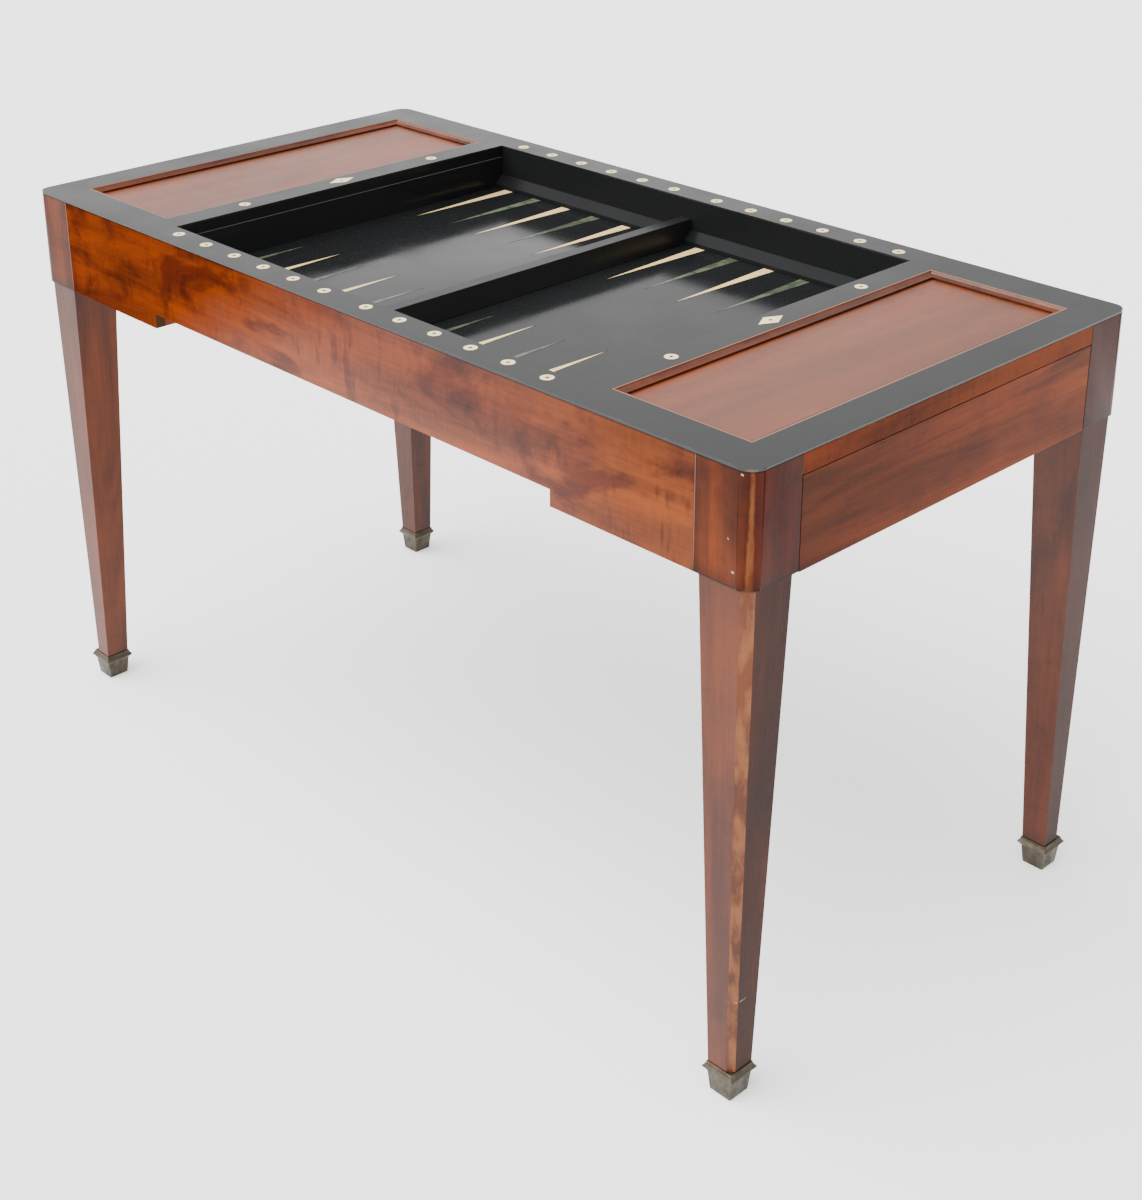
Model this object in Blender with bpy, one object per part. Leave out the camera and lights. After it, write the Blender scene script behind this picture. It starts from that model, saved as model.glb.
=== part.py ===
"""Tric trac table: a mahogany writing-height table whose top opens into two sunken gaming wells.

The carcase is four corner posts, each in one piece with its tapered leg, joined by stepped
front and back aprons.  Two partitions close the wells and leave room for a drawer at each end.
The right end is modelled, and the left end is the same pieces turned half round the middle.
Metres, +Z up, origin on the floor under the middle of the table, +X towards the right end,
-Y towards the front.
"""

import math

import bmesh
import bpy
from mathutils import Matrix

# Overall
WELL_HALF_LENGTH = 0.3555
END_BAY_LENGTH = 0.2645
TABLE_WIDTH = 0.620
TABLE_HEIGHT = 0.722
CORNER_RADIUS = 0.018
CORNER_SEGMENTS = 10
FIT_GAP = 0.0003
CUT_OVERRUN = 0.002
SMOOTH_ANGLE = math.radians(30)

# Ebonised rim
RIM_THICKNESS = 0.003
WELL_RAIL_WIDTH = 0.0405
END_RIM_WIDTH = 0.045
SIDE_RIM_WIDTH = 0.0503

# Peg holes, each in a bone disc or lozenge that stands a hair proud of the rim
INLAY_PROUD = 0.0003
DISC_RADIUS = 0.0077
DISC_SIDES = 24
LOZENGE_HALF_LENGTH = 0.0203
LOZENGE_HALF_WIDTH = 0.0107
PEG_HOLE_RADIUS = 0.0015
PEG_HOLE_SIDES = 10
PEG_HOLE_DEPTH = 0.013
PEG_ROW_SHARE = 0.617
END_DISC_SHARE = 0.575

# Gaming wells
WELL_DEPTH = 0.058
FLOOR_THICKNESS = 0.008
DIVIDER_THICKNESS = 0.017
DIVIDER_DROP = 0.027
FILLET_WIDTH = 0.0137
FILLET_HEIGHT = 0.0056
FILLET_SLOPE = 0.0104
PARTITION_THICKNESS = 0.022
POINTS_PER_ROW = 6
POINT_BASE = 0.016
POINT_PROUD = 0.00025
BONE_POINT_SHARE = 0.342
GREEN_POINT_SHARE = 0.325

# Aprons and corner posts
APRON_THICKNESS = 0.018
APRON_BELOW_FLOOR = 0.039
KNEE_STEP = 0.019
POST_WIDTH = 0.070
FLOOR_GROOVE_DEPTH = 0.006
HOUSING_DEPTH = 0.005
TENON_THICKNESS = 0.008
TENON_LENGTH = 0.030
TENON_SHOULDER = 0.012

# Legs
LEG_OUTER_INSET = 0.003
LEG_INNER_INSET = 0.005
LEG_TOP_CHAMFER = 0.0105
LEG_ROOT = 0.004
FOOT_INSET = 0.010
FOOT_WIDTH = 0.032
FOOT_CHAMFER = 0.007

# Sabots
SABOT_HEIGHT = 0.036
SABOT_BASE_WIDTH = 0.0284
SABOT_LIP_PROUD = 0.0006
SABOT_FLARE_PROUD = 0.0046
SABOT_FLARE_DROP = 0.0042
SABOT_TUCK_PROUD = 0.0003
SABOT_TUCK_DROP = 0.0062
SABOT_WALL = 0.002
SABOT_SOLE = 0.004

# End panels and their cove mouldings
PANEL_RAIL_THICKNESS = 0.0137
PANEL_DROP = 0.0075
PANEL_THICKNESS = 0.006
LIP_WIDTH = 0.0085
LIP_THICKNESS = 0.0112
COVE_WIDTH = 0.010
COVE_TOP_DROP = 0.0005
COVE_EDGE = 0.0015
COVE_SEGMENTS = 6
END_TENON_LENGTH = 0.020
END_TENON_SHOULDER = 0.0035

# Drawers
DRAWER_FRONT_THICKNESS = 0.018
DRAWER_FRONT_OVERHANG = 0.001
DRAWER_SIDE_GAP = 0.0012
DRAWER_TOP_GAP = 0.0008
DRAWER_BACK_GAP = 0.0025
DRAWER_BOARD = 0.008
DRAWER_SIDE_DROP = 0.0062
DRAWER_BACK_DROP = 0.005
DRAWER_BOTTOM = 0.005
DRAWER_BOTTOM_RISE = 0.0057
GROOVE_SHARE = 0.5
TAILS = 3
TAIL_LENGTH_SHARE = 0.667
TAIL_TIP_SHARE = 0.68
TAIL_ROOT_SHARE = 0.50

# Drawer runners
RUNNER_RISE = 0.002
RUNNER_THICKNESS = 0.010
RUNNER_LEDGE = 0.0215
RUNNER_GUIDE = 0.018
RUNNER_GUIDE_GAP = 0.0015
RUNNER_END_GAP = 0.002

# Levels, worked down from the top
RIM_FACE = TABLE_HEIGHT - INLAY_PROUD
RIM_UNDERSIDE = TABLE_HEIGHT - RIM_THICKNESS
CARCASE_TOP = RIM_UNDERSIDE - FIT_GAP
DIVIDER_TOP = TABLE_HEIGHT - DIVIDER_DROP
FLOOR_TOP = TABLE_HEIGHT - WELL_DEPTH
FLOOR_UNDERSIDE = FLOOR_TOP - FLOOR_THICKNESS
FILLET_TOP = FLOOR_TOP + FILLET_HEIGHT
FILLET_BACK = FILLET_TOP + FILLET_SLOPE
KNEE_LEVEL = FLOOR_UNDERSIDE - APRON_BELOW_FLOOR
POST_FOOT = KNEE_LEVEL - KNEE_STEP
PANEL_TOP = TABLE_HEIGHT - PANEL_DROP
PANEL_UNDERSIDE = PANEL_TOP - PANEL_THICKNESS
LIP_TOP = PANEL_UNDERSIDE - FIT_GAP
END_RAIL_UNDERSIDE = LIP_TOP - LIP_THICKNESS
LEG_SHOULDER = SABOT_HEIGHT + FIT_GAP

# Places along the table, measured from its middle
HALF_LENGTH = WELL_HALF_LENGTH + END_BAY_LENGTH
PARTITION_END = WELL_HALF_LENGTH + PARTITION_THICKNESS
CROSS_RIM_END = PARTITION_END + FIT_GAP + PANEL_RAIL_THICKNESS
CROSS_RIM_MIDDLE = (WELL_HALF_LENGTH + CROSS_RIM_END) / 2
PANEL_OPENING_END = HALF_LENGTH - END_RIM_WIDTH
POST_INNER_X = HALF_LENGTH - POST_WIDTH
POINT_PITCH = (WELL_HALF_LENGTH - DIVIDER_THICKNESS / 2) / POINTS_PER_ROW

# Places across the table, measured from its middle
HALF_WIDTH = TABLE_WIDTH / 2
WELL_HALF_WIDTH = HALF_WIDTH - WELL_RAIL_WIDTH
FILLET_INNER = WELL_HALF_WIDTH - FILLET_WIDTH
PEG_ROW = HALF_WIDTH - PEG_ROW_SHARE * WELL_RAIL_WIDTH
APRON_MIDDLE = HALF_WIDTH - APRON_THICKNESS / 2
APRON_INNER = HALF_WIDTH - APRON_THICKNESS
POST_INNER_Y = HALF_WIDTH - POST_WIDTH
PANEL_HALF_WIDTH = HALF_WIDTH - SIDE_RIM_WIDTH

# Sections of the leg and the sabot
LEG_TOP_WIDTH = POST_WIDTH - LEG_OUTER_INSET - LEG_INNER_INSET
FOOT_MIDDLE = FOOT_INSET + FOOT_WIDTH / 2
TUCK_LEVEL = SABOT_HEIGHT - SABOT_TUCK_DROP
TUCK_HALF = FOOT_WIDTH / 2 + SABOT_TUCK_PROUD

# Places in the drawer and its runners
DRAWER_HALF_WIDTH = POST_INNER_Y - DRAWER_SIDE_GAP
DRAWER_INNER = DRAWER_HALF_WIDTH - DRAWER_BOARD
DRAWER_GROOVE = DRAWER_BOARD * GROOVE_SHARE
DRAWER_FRONT_BACK = HALF_LENGTH - DRAWER_FRONT_THICKNESS
DRAWER_FRONT_TOP = END_RAIL_UNDERSIDE - DRAWER_TOP_GAP
DRAWER_BACK_END = PARTITION_END + DRAWER_BACK_GAP
DRAWER_BACK_FACE = DRAWER_BACK_END + DRAWER_BOARD
LEDGE_BOTTOM = POST_FOOT + RUNNER_RISE
LEDGE_TOP = LEDGE_BOTTOM + RUNNER_THICKNESS
GUIDE_INNER = DRAWER_HALF_WIDTH + RUNNER_GUIDE_GAP
DRAWER_SIDE_BOTTOM = LEDGE_TOP + FIT_GAP
DRAWER_SIDE_TOP = DRAWER_FRONT_TOP - DRAWER_SIDE_DROP
DRAWER_BACK_TOP = DRAWER_SIDE_TOP - DRAWER_BACK_DROP
BOTTOM_LOW = DRAWER_SIDE_BOTTOM + DRAWER_BOTTOM_RISE
BOTTOM_HIGH = BOTTOM_LOW + DRAWER_BOTTOM
FRONT_TAIL_TIP = DRAWER_FRONT_BACK + DRAWER_FRONT_THICKNESS * TAIL_LENGTH_SHARE
FRONT_TAILS = (DRAWER_SIDE_BOTTOM, DRAWER_SIDE_TOP)
BACK_TAILS = (BOTTOM_HIGH + FIT_GAP, DRAWER_BACK_TOP)

# Linear colour, roughness and metallic value of each finish
FINISHES = {
    "mahogany": ((0.246, 0.072, 0.026), 0.32, 0.0),
    "ebonised wood": ((0.020, 0.020, 0.021), 0.22, 0.0),
    "inner wood": ((0.38, 0.24, 0.13), 0.60, 0.0),
    "patinated brass": ((0.20, 0.17, 0.12), 0.48, 0.8),
}

# The pieces at the front and back of either end, as (name, sign of Y)
SIDES = (("front", -1), ("back", 1))

# How a name on the right end changes on its twin on the left end
TWIN_NAMES = (("_front_right", "_back_left"), ("_back_right", "_front_left"), ("right", "left"))


def clear_scene():
    for item in list(bpy.data.objects):
        bpy.data.objects.remove(item)


def make_finish(name):
    """A Principled material from the finish table."""
    colour, roughness, metallic = FINISHES[name]
    material = bpy.data.materials.new(name)
    material.use_nodes = True
    shader = material.node_tree.nodes["Principled BSDF"]
    shader.inputs["Base Color"].default_value = (*colour, 1.0)
    shader.inputs["Roughness"].default_value = roughness
    shader.inputs["Metallic"].default_value = metallic
    return material


def make_collection(name):
    collection = bpy.data.collections.new(name)
    bpy.context.scene.collection.children.link(collection)
    return collection


clear_scene()
TABLE = make_collection("tric_trac_table")
CUTTERS = make_collection("cutters")
CUTTERS.hide_render = True
MATERIALS = {name: make_finish(name) for name in FINISHES}


# Making and joining solids

def add_object(name, mesh, finish):
    """Link a mesh as a named piece, or as a hidden cutter where it has no finish."""
    item = bpy.data.objects.new(name, mesh)
    if finish:
        TABLE.objects.link(item)
        mesh.materials.append(MATERIALS[finish])
    else:
        CUTTERS.objects.link(item)
        item.hide_render = True
        item.display_type = "WIRE"
    return item


def finished_mesh(name, bm):
    bmesh.ops.recalc_face_normals(bm, faces=bm.faces[:])
    mesh = bpy.data.meshes.new(name)
    bm.to_mesh(mesh)
    bm.free()
    mesh.shade_smooth()
    mesh.set_sharp_from_angle(angle=SMOOTH_ANGLE)
    return mesh


def board(name, x, y, z, finish=None, rounded=()):
    """A board between two limits on each axis, its origin in its middle.

    The upright edges at the (x, y) places in rounded are turned to the corner radius.
    """
    middle = (sum(x) / 2, sum(y) / 2, sum(z) / 2)
    bm = bmesh.new()
    bmesh.ops.create_cube(bm, size=1)
    sides = (max(x) - min(x), max(y) - min(y), max(z) - min(z))
    bmesh.ops.scale(bm, vec=sides, verts=bm.verts)
    edges = []
    for edge in bm.edges:
        a, b = (vert.co for vert in edge.verts)
        for place_x, place_y in rounded:
            place = (place_x - middle[0], place_y - middle[1])
            if math.dist(a.xy, place) < FIT_GAP and math.dist(b.xy, place) < FIT_GAP:
                edges.append(edge)
    if edges:
        bmesh.ops.bevel(
            bm,
            geom=edges,
            offset=CORNER_RADIUS,
            segments=CORNER_SEGMENTS,
            profile=0.5,
            affect="EDGES",
        )
    item = add_object(name, finished_mesh(name, bm), finish)
    item.location = middle
    return item


def outline_solid(name, outlines, thickness, matrix, finish=None):
    """Flat outlines filled and given a thickness, centred on their own plane, as one mesh."""
    curve = bpy.data.curves.new(name, "CURVE")
    curve.dimensions = "2D"
    curve.fill_mode = "BOTH"
    curve.extrude = thickness / 2
    for outline in outlines:
        spline = curve.splines.new("POLY")
        spline.points.add(len(outline) - 1)
        for point, (across, along) in zip(spline.points, outline):
            point.co = (across, along, 0, 1)
        spline.use_cyclic_u = True
    drawn = bpy.data.objects.new(name, curve)
    TABLE.objects.link(drawn)
    graph = bpy.context.evaluated_depsgraph_get()
    filled = bpy.data.meshes.new_from_object(drawn.evaluated_get(graph))
    bpy.data.objects.remove(drawn)
    bpy.data.curves.remove(curve)
    bm = bmesh.new()
    bm.from_mesh(filled)
    bpy.data.meshes.remove(filled)
    bmesh.ops.remove_doubles(bm, verts=bm.verts[:], dist=FIT_GAP / 10)
    item = add_object(name, finished_mesh(name, bm), finish)
    item.matrix_world = matrix
    return item


def upright(y):
    """Stands an outline drawn as (x, z) in the plane at this y."""
    return Matrix.Translation((0, y, 0)) @ Matrix.Rotation(math.pi / 2, 4, "X")


def crossways():
    """Stands an outline drawn as (y, z) across the middle of the table."""
    return Matrix.Rotation(math.pi / 2, 4, "Z") @ upright(0)


def loft(name, rings, finish=None):
    """A solid through rings of equally many points, closed flat at both ends."""
    bm = bmesh.new()
    loops = [[bm.verts.new(point) for point in ring] for ring in rings]
    for lower, upper in zip(loops, loops[1:]):
        for i in range(len(lower)):
            bm.faces.new((lower[i - 1], lower[i], upper[i], upper[i - 1]))
    bm.faces.new(loops[0][::-1])
    bm.faces.new(loops[-1])
    return add_object(name, finished_mesh(name, bm), finish)


def prisms(name, places, radii, sides, z):
    """A hidden mesh of upright prisms with these radii along X and Y, one at each place."""
    bm = bmesh.new()
    size = (*radii, max(z) - min(z))
    for x, y in places:
        made = bmesh.ops.create_cone(
            bm, segments=sides, radius1=1, radius2=1, depth=1, cap_ends=True
        )["verts"]
        bmesh.ops.scale(bm, vec=size, verts=made)
        bmesh.ops.translate(bm, vec=(x, y, sum(z) / 2), verts=made)
    return add_object(name, finished_mesh(name, bm), None)


def add_booleans(item, operation, others):
    for other in others:
        modifier = item.modifiers.new(f"{operation.lower()} {other.name}", "BOOLEAN")
        modifier.operation = operation
        modifier.solver = "EXACT"
        modifier.object = other
    return item


def cut(item, *others):
    return add_booleans(item, "DIFFERENCE", others)


def join(item, *others):
    return add_booleans(item, "UNION", others)


def span(side, low, high):
    """The two limits between these distances from the middle, on the side with this sign."""
    return tuple(sorted((side * low, side * high)))


# Peg holes and their inlays

def row_places(side):
    """The (x, y) of each disc along one well rail, each in line with a point."""
    for end in (-1, 1):
        for i in range(POINTS_PER_ROW):
            yield end * (DIVIDER_THICKNESS / 2 + (i + 0.5) * POINT_PITCH), side * PEG_ROW


def cross_places():
    """The (x, y) of the two discs on the right cross rim, either side of its lozenge."""
    return [(CROSS_RIM_MIDDLE, side * END_DISC_SHARE * WELL_HALF_WIDTH) for side in (-1, 1)]


def peg_holes(name, places):
    bored = (TABLE_HEIGHT - PEG_HOLE_DEPTH, TABLE_HEIGHT + CUT_OVERRUN)
    return prisms(name, places, (PEG_HOLE_RADIUS, PEG_HOLE_RADIUS), PEG_HOLE_SIDES, bored)


def raised_inlays(name, places, radii, sides):
    raised = (RIM_UNDERSIDE + RIM_THICKNESS / 2, TABLE_HEIGHT)
    return prisms(name, places, radii, sides, raised)


def raised_discs(name, places):
    return raised_inlays(name, places, (DISC_RADIUS, DISC_RADIUS), DISC_SIDES)


# Ebonised rim

def well_rims():
    """The long bars of the rim, front and back of the wells."""
    length = WELL_HALF_LENGTH - FIT_GAP
    for place, side in SIDES:
        across = span(side, WELL_HALF_WIDTH, HALF_WIDTH)
        item = board(
            f"rim_{place}", (-length, length), across, (RIM_UNDERSIDE, RIM_FACE), "ebonised wood"
        )
        places = list(row_places(side))
        join(item, raised_discs(f"discs_{place}", places))
        cut(item, peg_holes(f"rim_holes_{place}", places))


def cross_rim():
    """The bar of the rim over the partition, with two discs and a lozenge."""
    item = board(
        "rim_cross_right",
        (WELL_HALF_LENGTH, CROSS_RIM_END),
        (-HALF_WIDTH, HALF_WIDTH),
        (RIM_UNDERSIDE, RIM_FACE),
        "ebonised wood",
    )
    middle = [(CROSS_RIM_MIDDLE, 0)]
    join(item, raised_discs("cross_discs", cross_places()))
    lozenge = (LOZENGE_HALF_WIDTH, LOZENGE_HALF_LENGTH)
    join(item, raised_inlays("cross_lozenge", middle, lozenge, 4))
    return cut(item, peg_holes("cross_holes", cross_places() + middle))


def end_rim():
    """The bar of the rim along the end, with the table's two rounded corners."""
    return board(
        "rim_end_right",
        (PANEL_OPENING_END, HALF_LENGTH),
        (-HALF_WIDTH, HALF_WIDTH),
        (RIM_UNDERSIDE, RIM_FACE),
        "ebonised wood",
        rounded=[(HALF_LENGTH, -HALF_WIDTH), (HALF_LENGTH, HALF_WIDTH)],
    )


def side_rims():
    for place, side in SIDES:
        yield board(
            f"rim_side_{place}_right",
            (CROSS_RIM_END + FIT_GAP, PANEL_OPENING_END - FIT_GAP),
            span(side, PANEL_HALF_WIDTH, HALF_WIDTH),
            (RIM_UNDERSIDE, RIM_FACE),
            "ebonised wood",
        )


# Legs and sabots

def cut_square(inner, outer, chamfer, height):
    """A square ring between two distances on both axes, its outer corner cut off."""
    return [
        (inner, inner, height),
        (outer, inner, height),
        (outer, outer - chamfer, height),
        (outer - chamfer, outer, height),
        (inner, outer, height),
    ]


def leg_section(height):
    """The tapered leg's ring at a height, measured from its post's outer corner."""
    share = (height - LEG_SHOULDER) / (POST_FOOT - LEG_SHOULDER)
    inset = FOOT_INSET + share * (LEG_OUTER_INSET - FOOT_INSET)
    width = FOOT_WIDTH + share * (LEG_TOP_WIDTH - FOOT_WIDTH)
    chamfer = FOOT_CHAMFER + share * (LEG_TOP_CHAMFER - FOOT_CHAMFER)
    return cut_square(-inset - width, -inset, chamfer, height)


def pocket_half(height):
    """Half the width of the sabot's pocket at a height, one wall inside its tapered body."""
    share = min(height, TUCK_LEVEL) / TUCK_LEVEL
    return SABOT_BASE_WIDTH / 2 + share * (TUCK_HALF - SABOT_BASE_WIDTH / 2) - SABOT_WALL


def spike_section(height):
    """The ring of the leg's spike at a height, the fit gap inside the sabot's pocket."""
    half = pocket_half(height) - FIT_GAP
    return cut_square(-FOOT_MIDDLE - half, half - FOOT_MIDDLE, FOOT_CHAMFER / 2, height)


def leg_taper(name):
    """The tapered leg with the spike that its sabot takes, its post's corner at the origin."""
    rings = [
        spike_section(SABOT_SOLE + FIT_GAP),
        spike_section(LEG_SHOULDER),
        leg_section(LEG_SHOULDER),
        leg_section(POST_FOOT + LEG_ROOT),
    ]
    return loft(name, rings)


def place_at_corner(item, side):
    """Turn a piece made about a post's outer corner to the right end's front or back corner."""
    item.location = (HALF_LENGTH, side * HALF_WIDTH, 0)
    item.rotation_euler.z = 0 if side > 0 else -math.pi / 2
    return item


def apron_mortise(place, side):
    """Cutter for the slot in the right-hand post that takes the apron's tenon."""
    reach = TENON_THICKNESS / 2 + FIT_GAP
    return board(
        f"apron_mortise_{place}",
        (POST_INNER_X - CUT_OVERRUN, POST_INNER_X + TENON_LENGTH + FIT_GAP),
        span(side, APRON_MIDDLE - reach, APRON_MIDDLE + reach),
        (POST_FOOT + TENON_SHOULDER - FIT_GAP, CARCASE_TOP - TENON_SHOULDER + FIT_GAP),
    )


def end_tenon_spans(grow):
    """The end rail's tenon in X and Z, grown all round by this much."""
    middle = (PANEL_OPENING_END + HALF_LENGTH) / 2
    reach = TENON_THICKNESS / 2 + grow
    low = END_RAIL_UNDERSIDE + END_TENON_SHOULDER - grow
    return (middle - reach, middle + reach), (low, CARCASE_TOP - END_TENON_SHOULDER + grow)


def end_mortise(place, side):
    """Cutter for the slot in the right-hand post that takes the end rail's tenon."""
    x, z = end_tenon_spans(FIT_GAP)
    deep = POST_INNER_Y + END_TENON_LENGTH + FIT_GAP
    return board(f"end_mortise_{place}", x, span(side, POST_INNER_Y - CUT_OVERRUN, deep), z)


def panel_rebate(place, side):
    """Cutter for the corner of the right-hand post that the panel and its coves sit in."""
    return board(
        f"panel_rebate_{place}",
        (POST_INNER_X - CUT_OVERRUN, PANEL_OPENING_END + FIT_GAP),
        span(side, POST_INNER_Y - CUT_OVERRUN, PANEL_HALF_WIDTH + FIT_GAP),
        (LIP_TOP, TABLE_HEIGHT),
    )


def legs():
    """Post and tapered leg as one piece, with its mortises."""
    for place, side in SIDES:
        post = board(
            f"leg_{place}_right",
            (POST_INNER_X, HALF_LENGTH),
            span(side, POST_INNER_Y, HALF_WIDTH),
            (POST_FOOT, CARCASE_TOP),
            "mahogany",
            rounded=[(HALF_LENGTH, side * HALF_WIDTH)],
        )
        join(post, place_at_corner(leg_taper(f"taper_{place}"), side))
        yield cut(post, apron_mortise(place, side), end_mortise(place, side), panel_rebate(place, side))


def sabots():
    """Square brass cups: a tapered body, a flared lip round the top and a pocket for the spike."""
    profile = [
        (SABOT_BASE_WIDTH / 2, 0),
        (TUCK_HALF, TUCK_LEVEL),
        (FOOT_WIDTH / 2 + SABOT_FLARE_PROUD, SABOT_HEIGHT - SABOT_FLARE_DROP),
        (FOOT_WIDTH / 2 + SABOT_LIP_PROUD, SABOT_HEIGHT),
        (pocket_half(SABOT_HEIGHT), SABOT_HEIGHT),
        (pocket_half(SABOT_SOLE), SABOT_SOLE),
    ]
    square = ((-1, -1), (1, -1), (1, 1), (-1, 1))
    for place, side in SIDES:
        rings = []
        for half, height in profile:
            rings.append([(x * half - FOOT_MIDDLE, y * half - FOOT_MIDDLE, height) for x, y in square])
        yield place_at_corner(loft(f"sabot_{place}_right", rings, "patinated brass"), side)


# Aprons

def apron_outline():
    """The apron seen from the front: deep at both ends, raised between them for the knees."""
    end = POST_INNER_X - FIT_GAP
    right = [
        (WELL_HALF_LENGTH, KNEE_LEVEL),
        (WELL_HALF_LENGTH, POST_FOOT),
        (end, POST_FOOT),
        (end, CARCASE_TOP),
    ]
    return right + [(-x, z) for x, z in reversed(right)]


def apron_tenon(side, end):
    return board(
        f"apron_tenon_{side}_{end}",
        span(end, POST_INNER_X - TENON_LENGTH, POST_INNER_X + TENON_LENGTH),
        span(side, APRON_MIDDLE - TENON_THICKNESS / 2, APRON_MIDDLE + TENON_THICKNESS / 2),
        (POST_FOOT + TENON_SHOULDER, CARCASE_TOP - TENON_SHOULDER),
    )


def partition_housing(side, end):
    """Cutter for the shallow upright slot in an apron that takes a partition's edge."""
    return board(
        f"partition_housing_{side}_{end}",
        span(end, WELL_HALF_LENGTH - FIT_GAP, PARTITION_END + FIT_GAP),
        span(side, APRON_INNER - CUT_OVERRUN, APRON_INNER + HOUSING_DEPTH + FIT_GAP),
        (POST_FOOT - CUT_OVERRUN, CARCASE_TOP + CUT_OVERRUN),
    )


def floor_groove(name, x, y):
    return board(name, x, y, (FLOOR_UNDERSIDE - FIT_GAP, FLOOR_TOP + FIT_GAP))


def aprons():
    """The long boards, tenoned into the posts, housed for the partitions, grooved for the floors."""
    reach = WELL_HALF_LENGTH + FLOOR_GROOVE_DEPTH + FIT_GAP
    groove_bottom = APRON_INNER + FLOOR_GROOVE_DEPTH + FIT_GAP
    for place, side in SIDES:
        item = outline_solid(
            f"{place}_apron", [apron_outline()], APRON_THICKNESS, upright(side * APRON_MIDDLE), "mahogany"
        )
        for end in (-1, 1):
            join(item, apron_tenon(side, end))
            cut(item, partition_housing(side, end))
        across = span(side, APRON_INNER - CUT_OVERRUN, groove_bottom)
        cut(item, floor_groove(f"floor_groove_{place}", (-reach, reach), across))


# Wells

def partition():
    """The upright board that ends the right well, housed in both aprons."""
    half = APRON_INNER + HOUSING_DEPTH
    item = board(
        "partition_right",
        (WELL_HALF_LENGTH, PARTITION_END),
        (-half, half),
        (POST_FOOT, CARCASE_TOP),
        "mahogany",
    )
    reach = half + CUT_OVERRUN
    along = (WELL_HALF_LENGTH - CUT_OVERRUN, WELL_HALF_LENGTH + FLOOR_GROOVE_DEPTH + FIT_GAP)
    bored = peg_holes("partition_holes", [*cross_places(), (CROSS_RIM_MIDDLE, 0)])
    return cut(item, floor_groove("partition_groove", along, (-reach, reach)), bored)


def point_outlines():
    """The right floor's triangles: green and bone by turns, opposite ways front and back."""
    base = FILLET_INNER - FIT_GAP
    for _, side in SIDES:
        for i in range(POINTS_PER_ROW):
            x = DIVIDER_THICKNESS / 2 + (i + 0.5) * POINT_PITCH
            is_bone = (i % 2 == 1) == (side < 0)
            share = BONE_POINT_SHARE if is_bone else GREEN_POINT_SHARE
            tip = WELL_HALF_WIDTH * (1 - 2 * share)
            left, right = x - POINT_BASE / 2, x + POINT_BASE / 2
            yield [(left, side * base), (x, side * tip), (right, side * base)]


def well_floor():
    """The right well's floor, tongued into the aprons and the partition, with its points."""
    half = APRON_INNER + FLOOR_GROOVE_DEPTH
    item = board(
        "well_floor_right",
        (FIT_GAP / 2, WELL_HALF_LENGTH + FLOOR_GROOVE_DEPTH),
        (-half, half),
        (FLOOR_UNDERSIDE, FLOOR_TOP),
        "ebonised wood",
    )
    depth = FLOOR_THICKNESS / 4 + POINT_PROUD
    matrix = Matrix.Translation((0, 0, FLOOR_TOP + POINT_PROUD - depth / 2))
    return join(item, outline_solid("points", list(point_outlines()), depth, matrix))


def linings():
    """The boards behind the wells' long walls, each with a low sloping fillet along its foot."""
    length = WELL_HALF_LENGTH - FIT_GAP
    low = FLOOR_TOP + FIT_GAP
    back = APRON_INNER - FIT_GAP
    section = [
        (FILLET_INNER, low),
        (back, low),
        (back, CARCASE_TOP),
        (WELL_HALF_WIDTH, CARCASE_TOP),
        (WELL_HALF_WIDTH, FILLET_BACK),
        (FILLET_INNER, FILLET_TOP),
    ]
    for place, side in SIDES:
        outline = [(side * across, level) for across, level in section]
        item = outline_solid(
            f"well_lining_{place}", [outline], length * 2, crossways(), "ebonised wood"
        )
        cut(item, peg_holes(f"lining_holes_{place}", list(row_places(side))))


def divider():
    """The bar between the wells, notched at both ends over the fillets."""
    half = WELL_HALF_WIDTH - FIT_GAP
    foot = FILLET_INNER - FIT_GAP
    low = FLOOR_TOP + FIT_GAP
    notch = FILLET_TOP + FIT_GAP
    right = [(foot, low), (foot, notch), (half, notch + FILLET_SLOPE), (half, DIVIDER_TOP)]
    left = [(-across, level) for across, level in reversed(right)]
    outline_solid("well_divider", [right + left], DIVIDER_THICKNESS, crossways(), "ebonised wood")


# Frame round the end panel

def panel_lip(name, x, y):
    return board(name, x, y, (END_RAIL_UNDERSIDE, LIP_TOP))


def panel_rail():
    """The rail glued to the partition, with the lip that carries the panel's inner edge."""
    half = APRON_INNER - FIT_GAP
    root = PARTITION_END + FIT_GAP
    item = board(
        "panel_rail_right",
        (root, CROSS_RIM_END),
        (-half, half),
        (END_RAIL_UNDERSIDE, CARCASE_TOP),
        "mahogany",
    )
    inner = PANEL_HALF_WIDTH - LIP_WIDTH - FIT_GAP
    along = ((root + CROSS_RIM_END) / 2, CROSS_RIM_END + LIP_WIDTH)
    return join(item, panel_lip("panel_rail_lip", along, (-inner, inner)))


def end_top_rail():
    """The rail over the drawer, tenoned into both posts, with a lip for the panel."""
    half = POST_INNER_Y - FIT_GAP
    item = board(
        "end_top_rail_right",
        (PANEL_OPENING_END, HALF_LENGTH),
        (-half, half),
        (END_RAIL_UNDERSIDE, CARCASE_TOP),
        "mahogany",
    )
    x, z = end_tenon_spans(0)
    reach = POST_INNER_Y + END_TENON_LENGTH
    along = (PANEL_OPENING_END - LIP_WIDTH, (PANEL_OPENING_END + HALF_LENGTH) / 2)
    tenons = board("end_rail_tenons", x, (-reach, reach), z)
    return join(item, tenons, panel_lip("end_rail_lip", along, (-half, half)))


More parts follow.
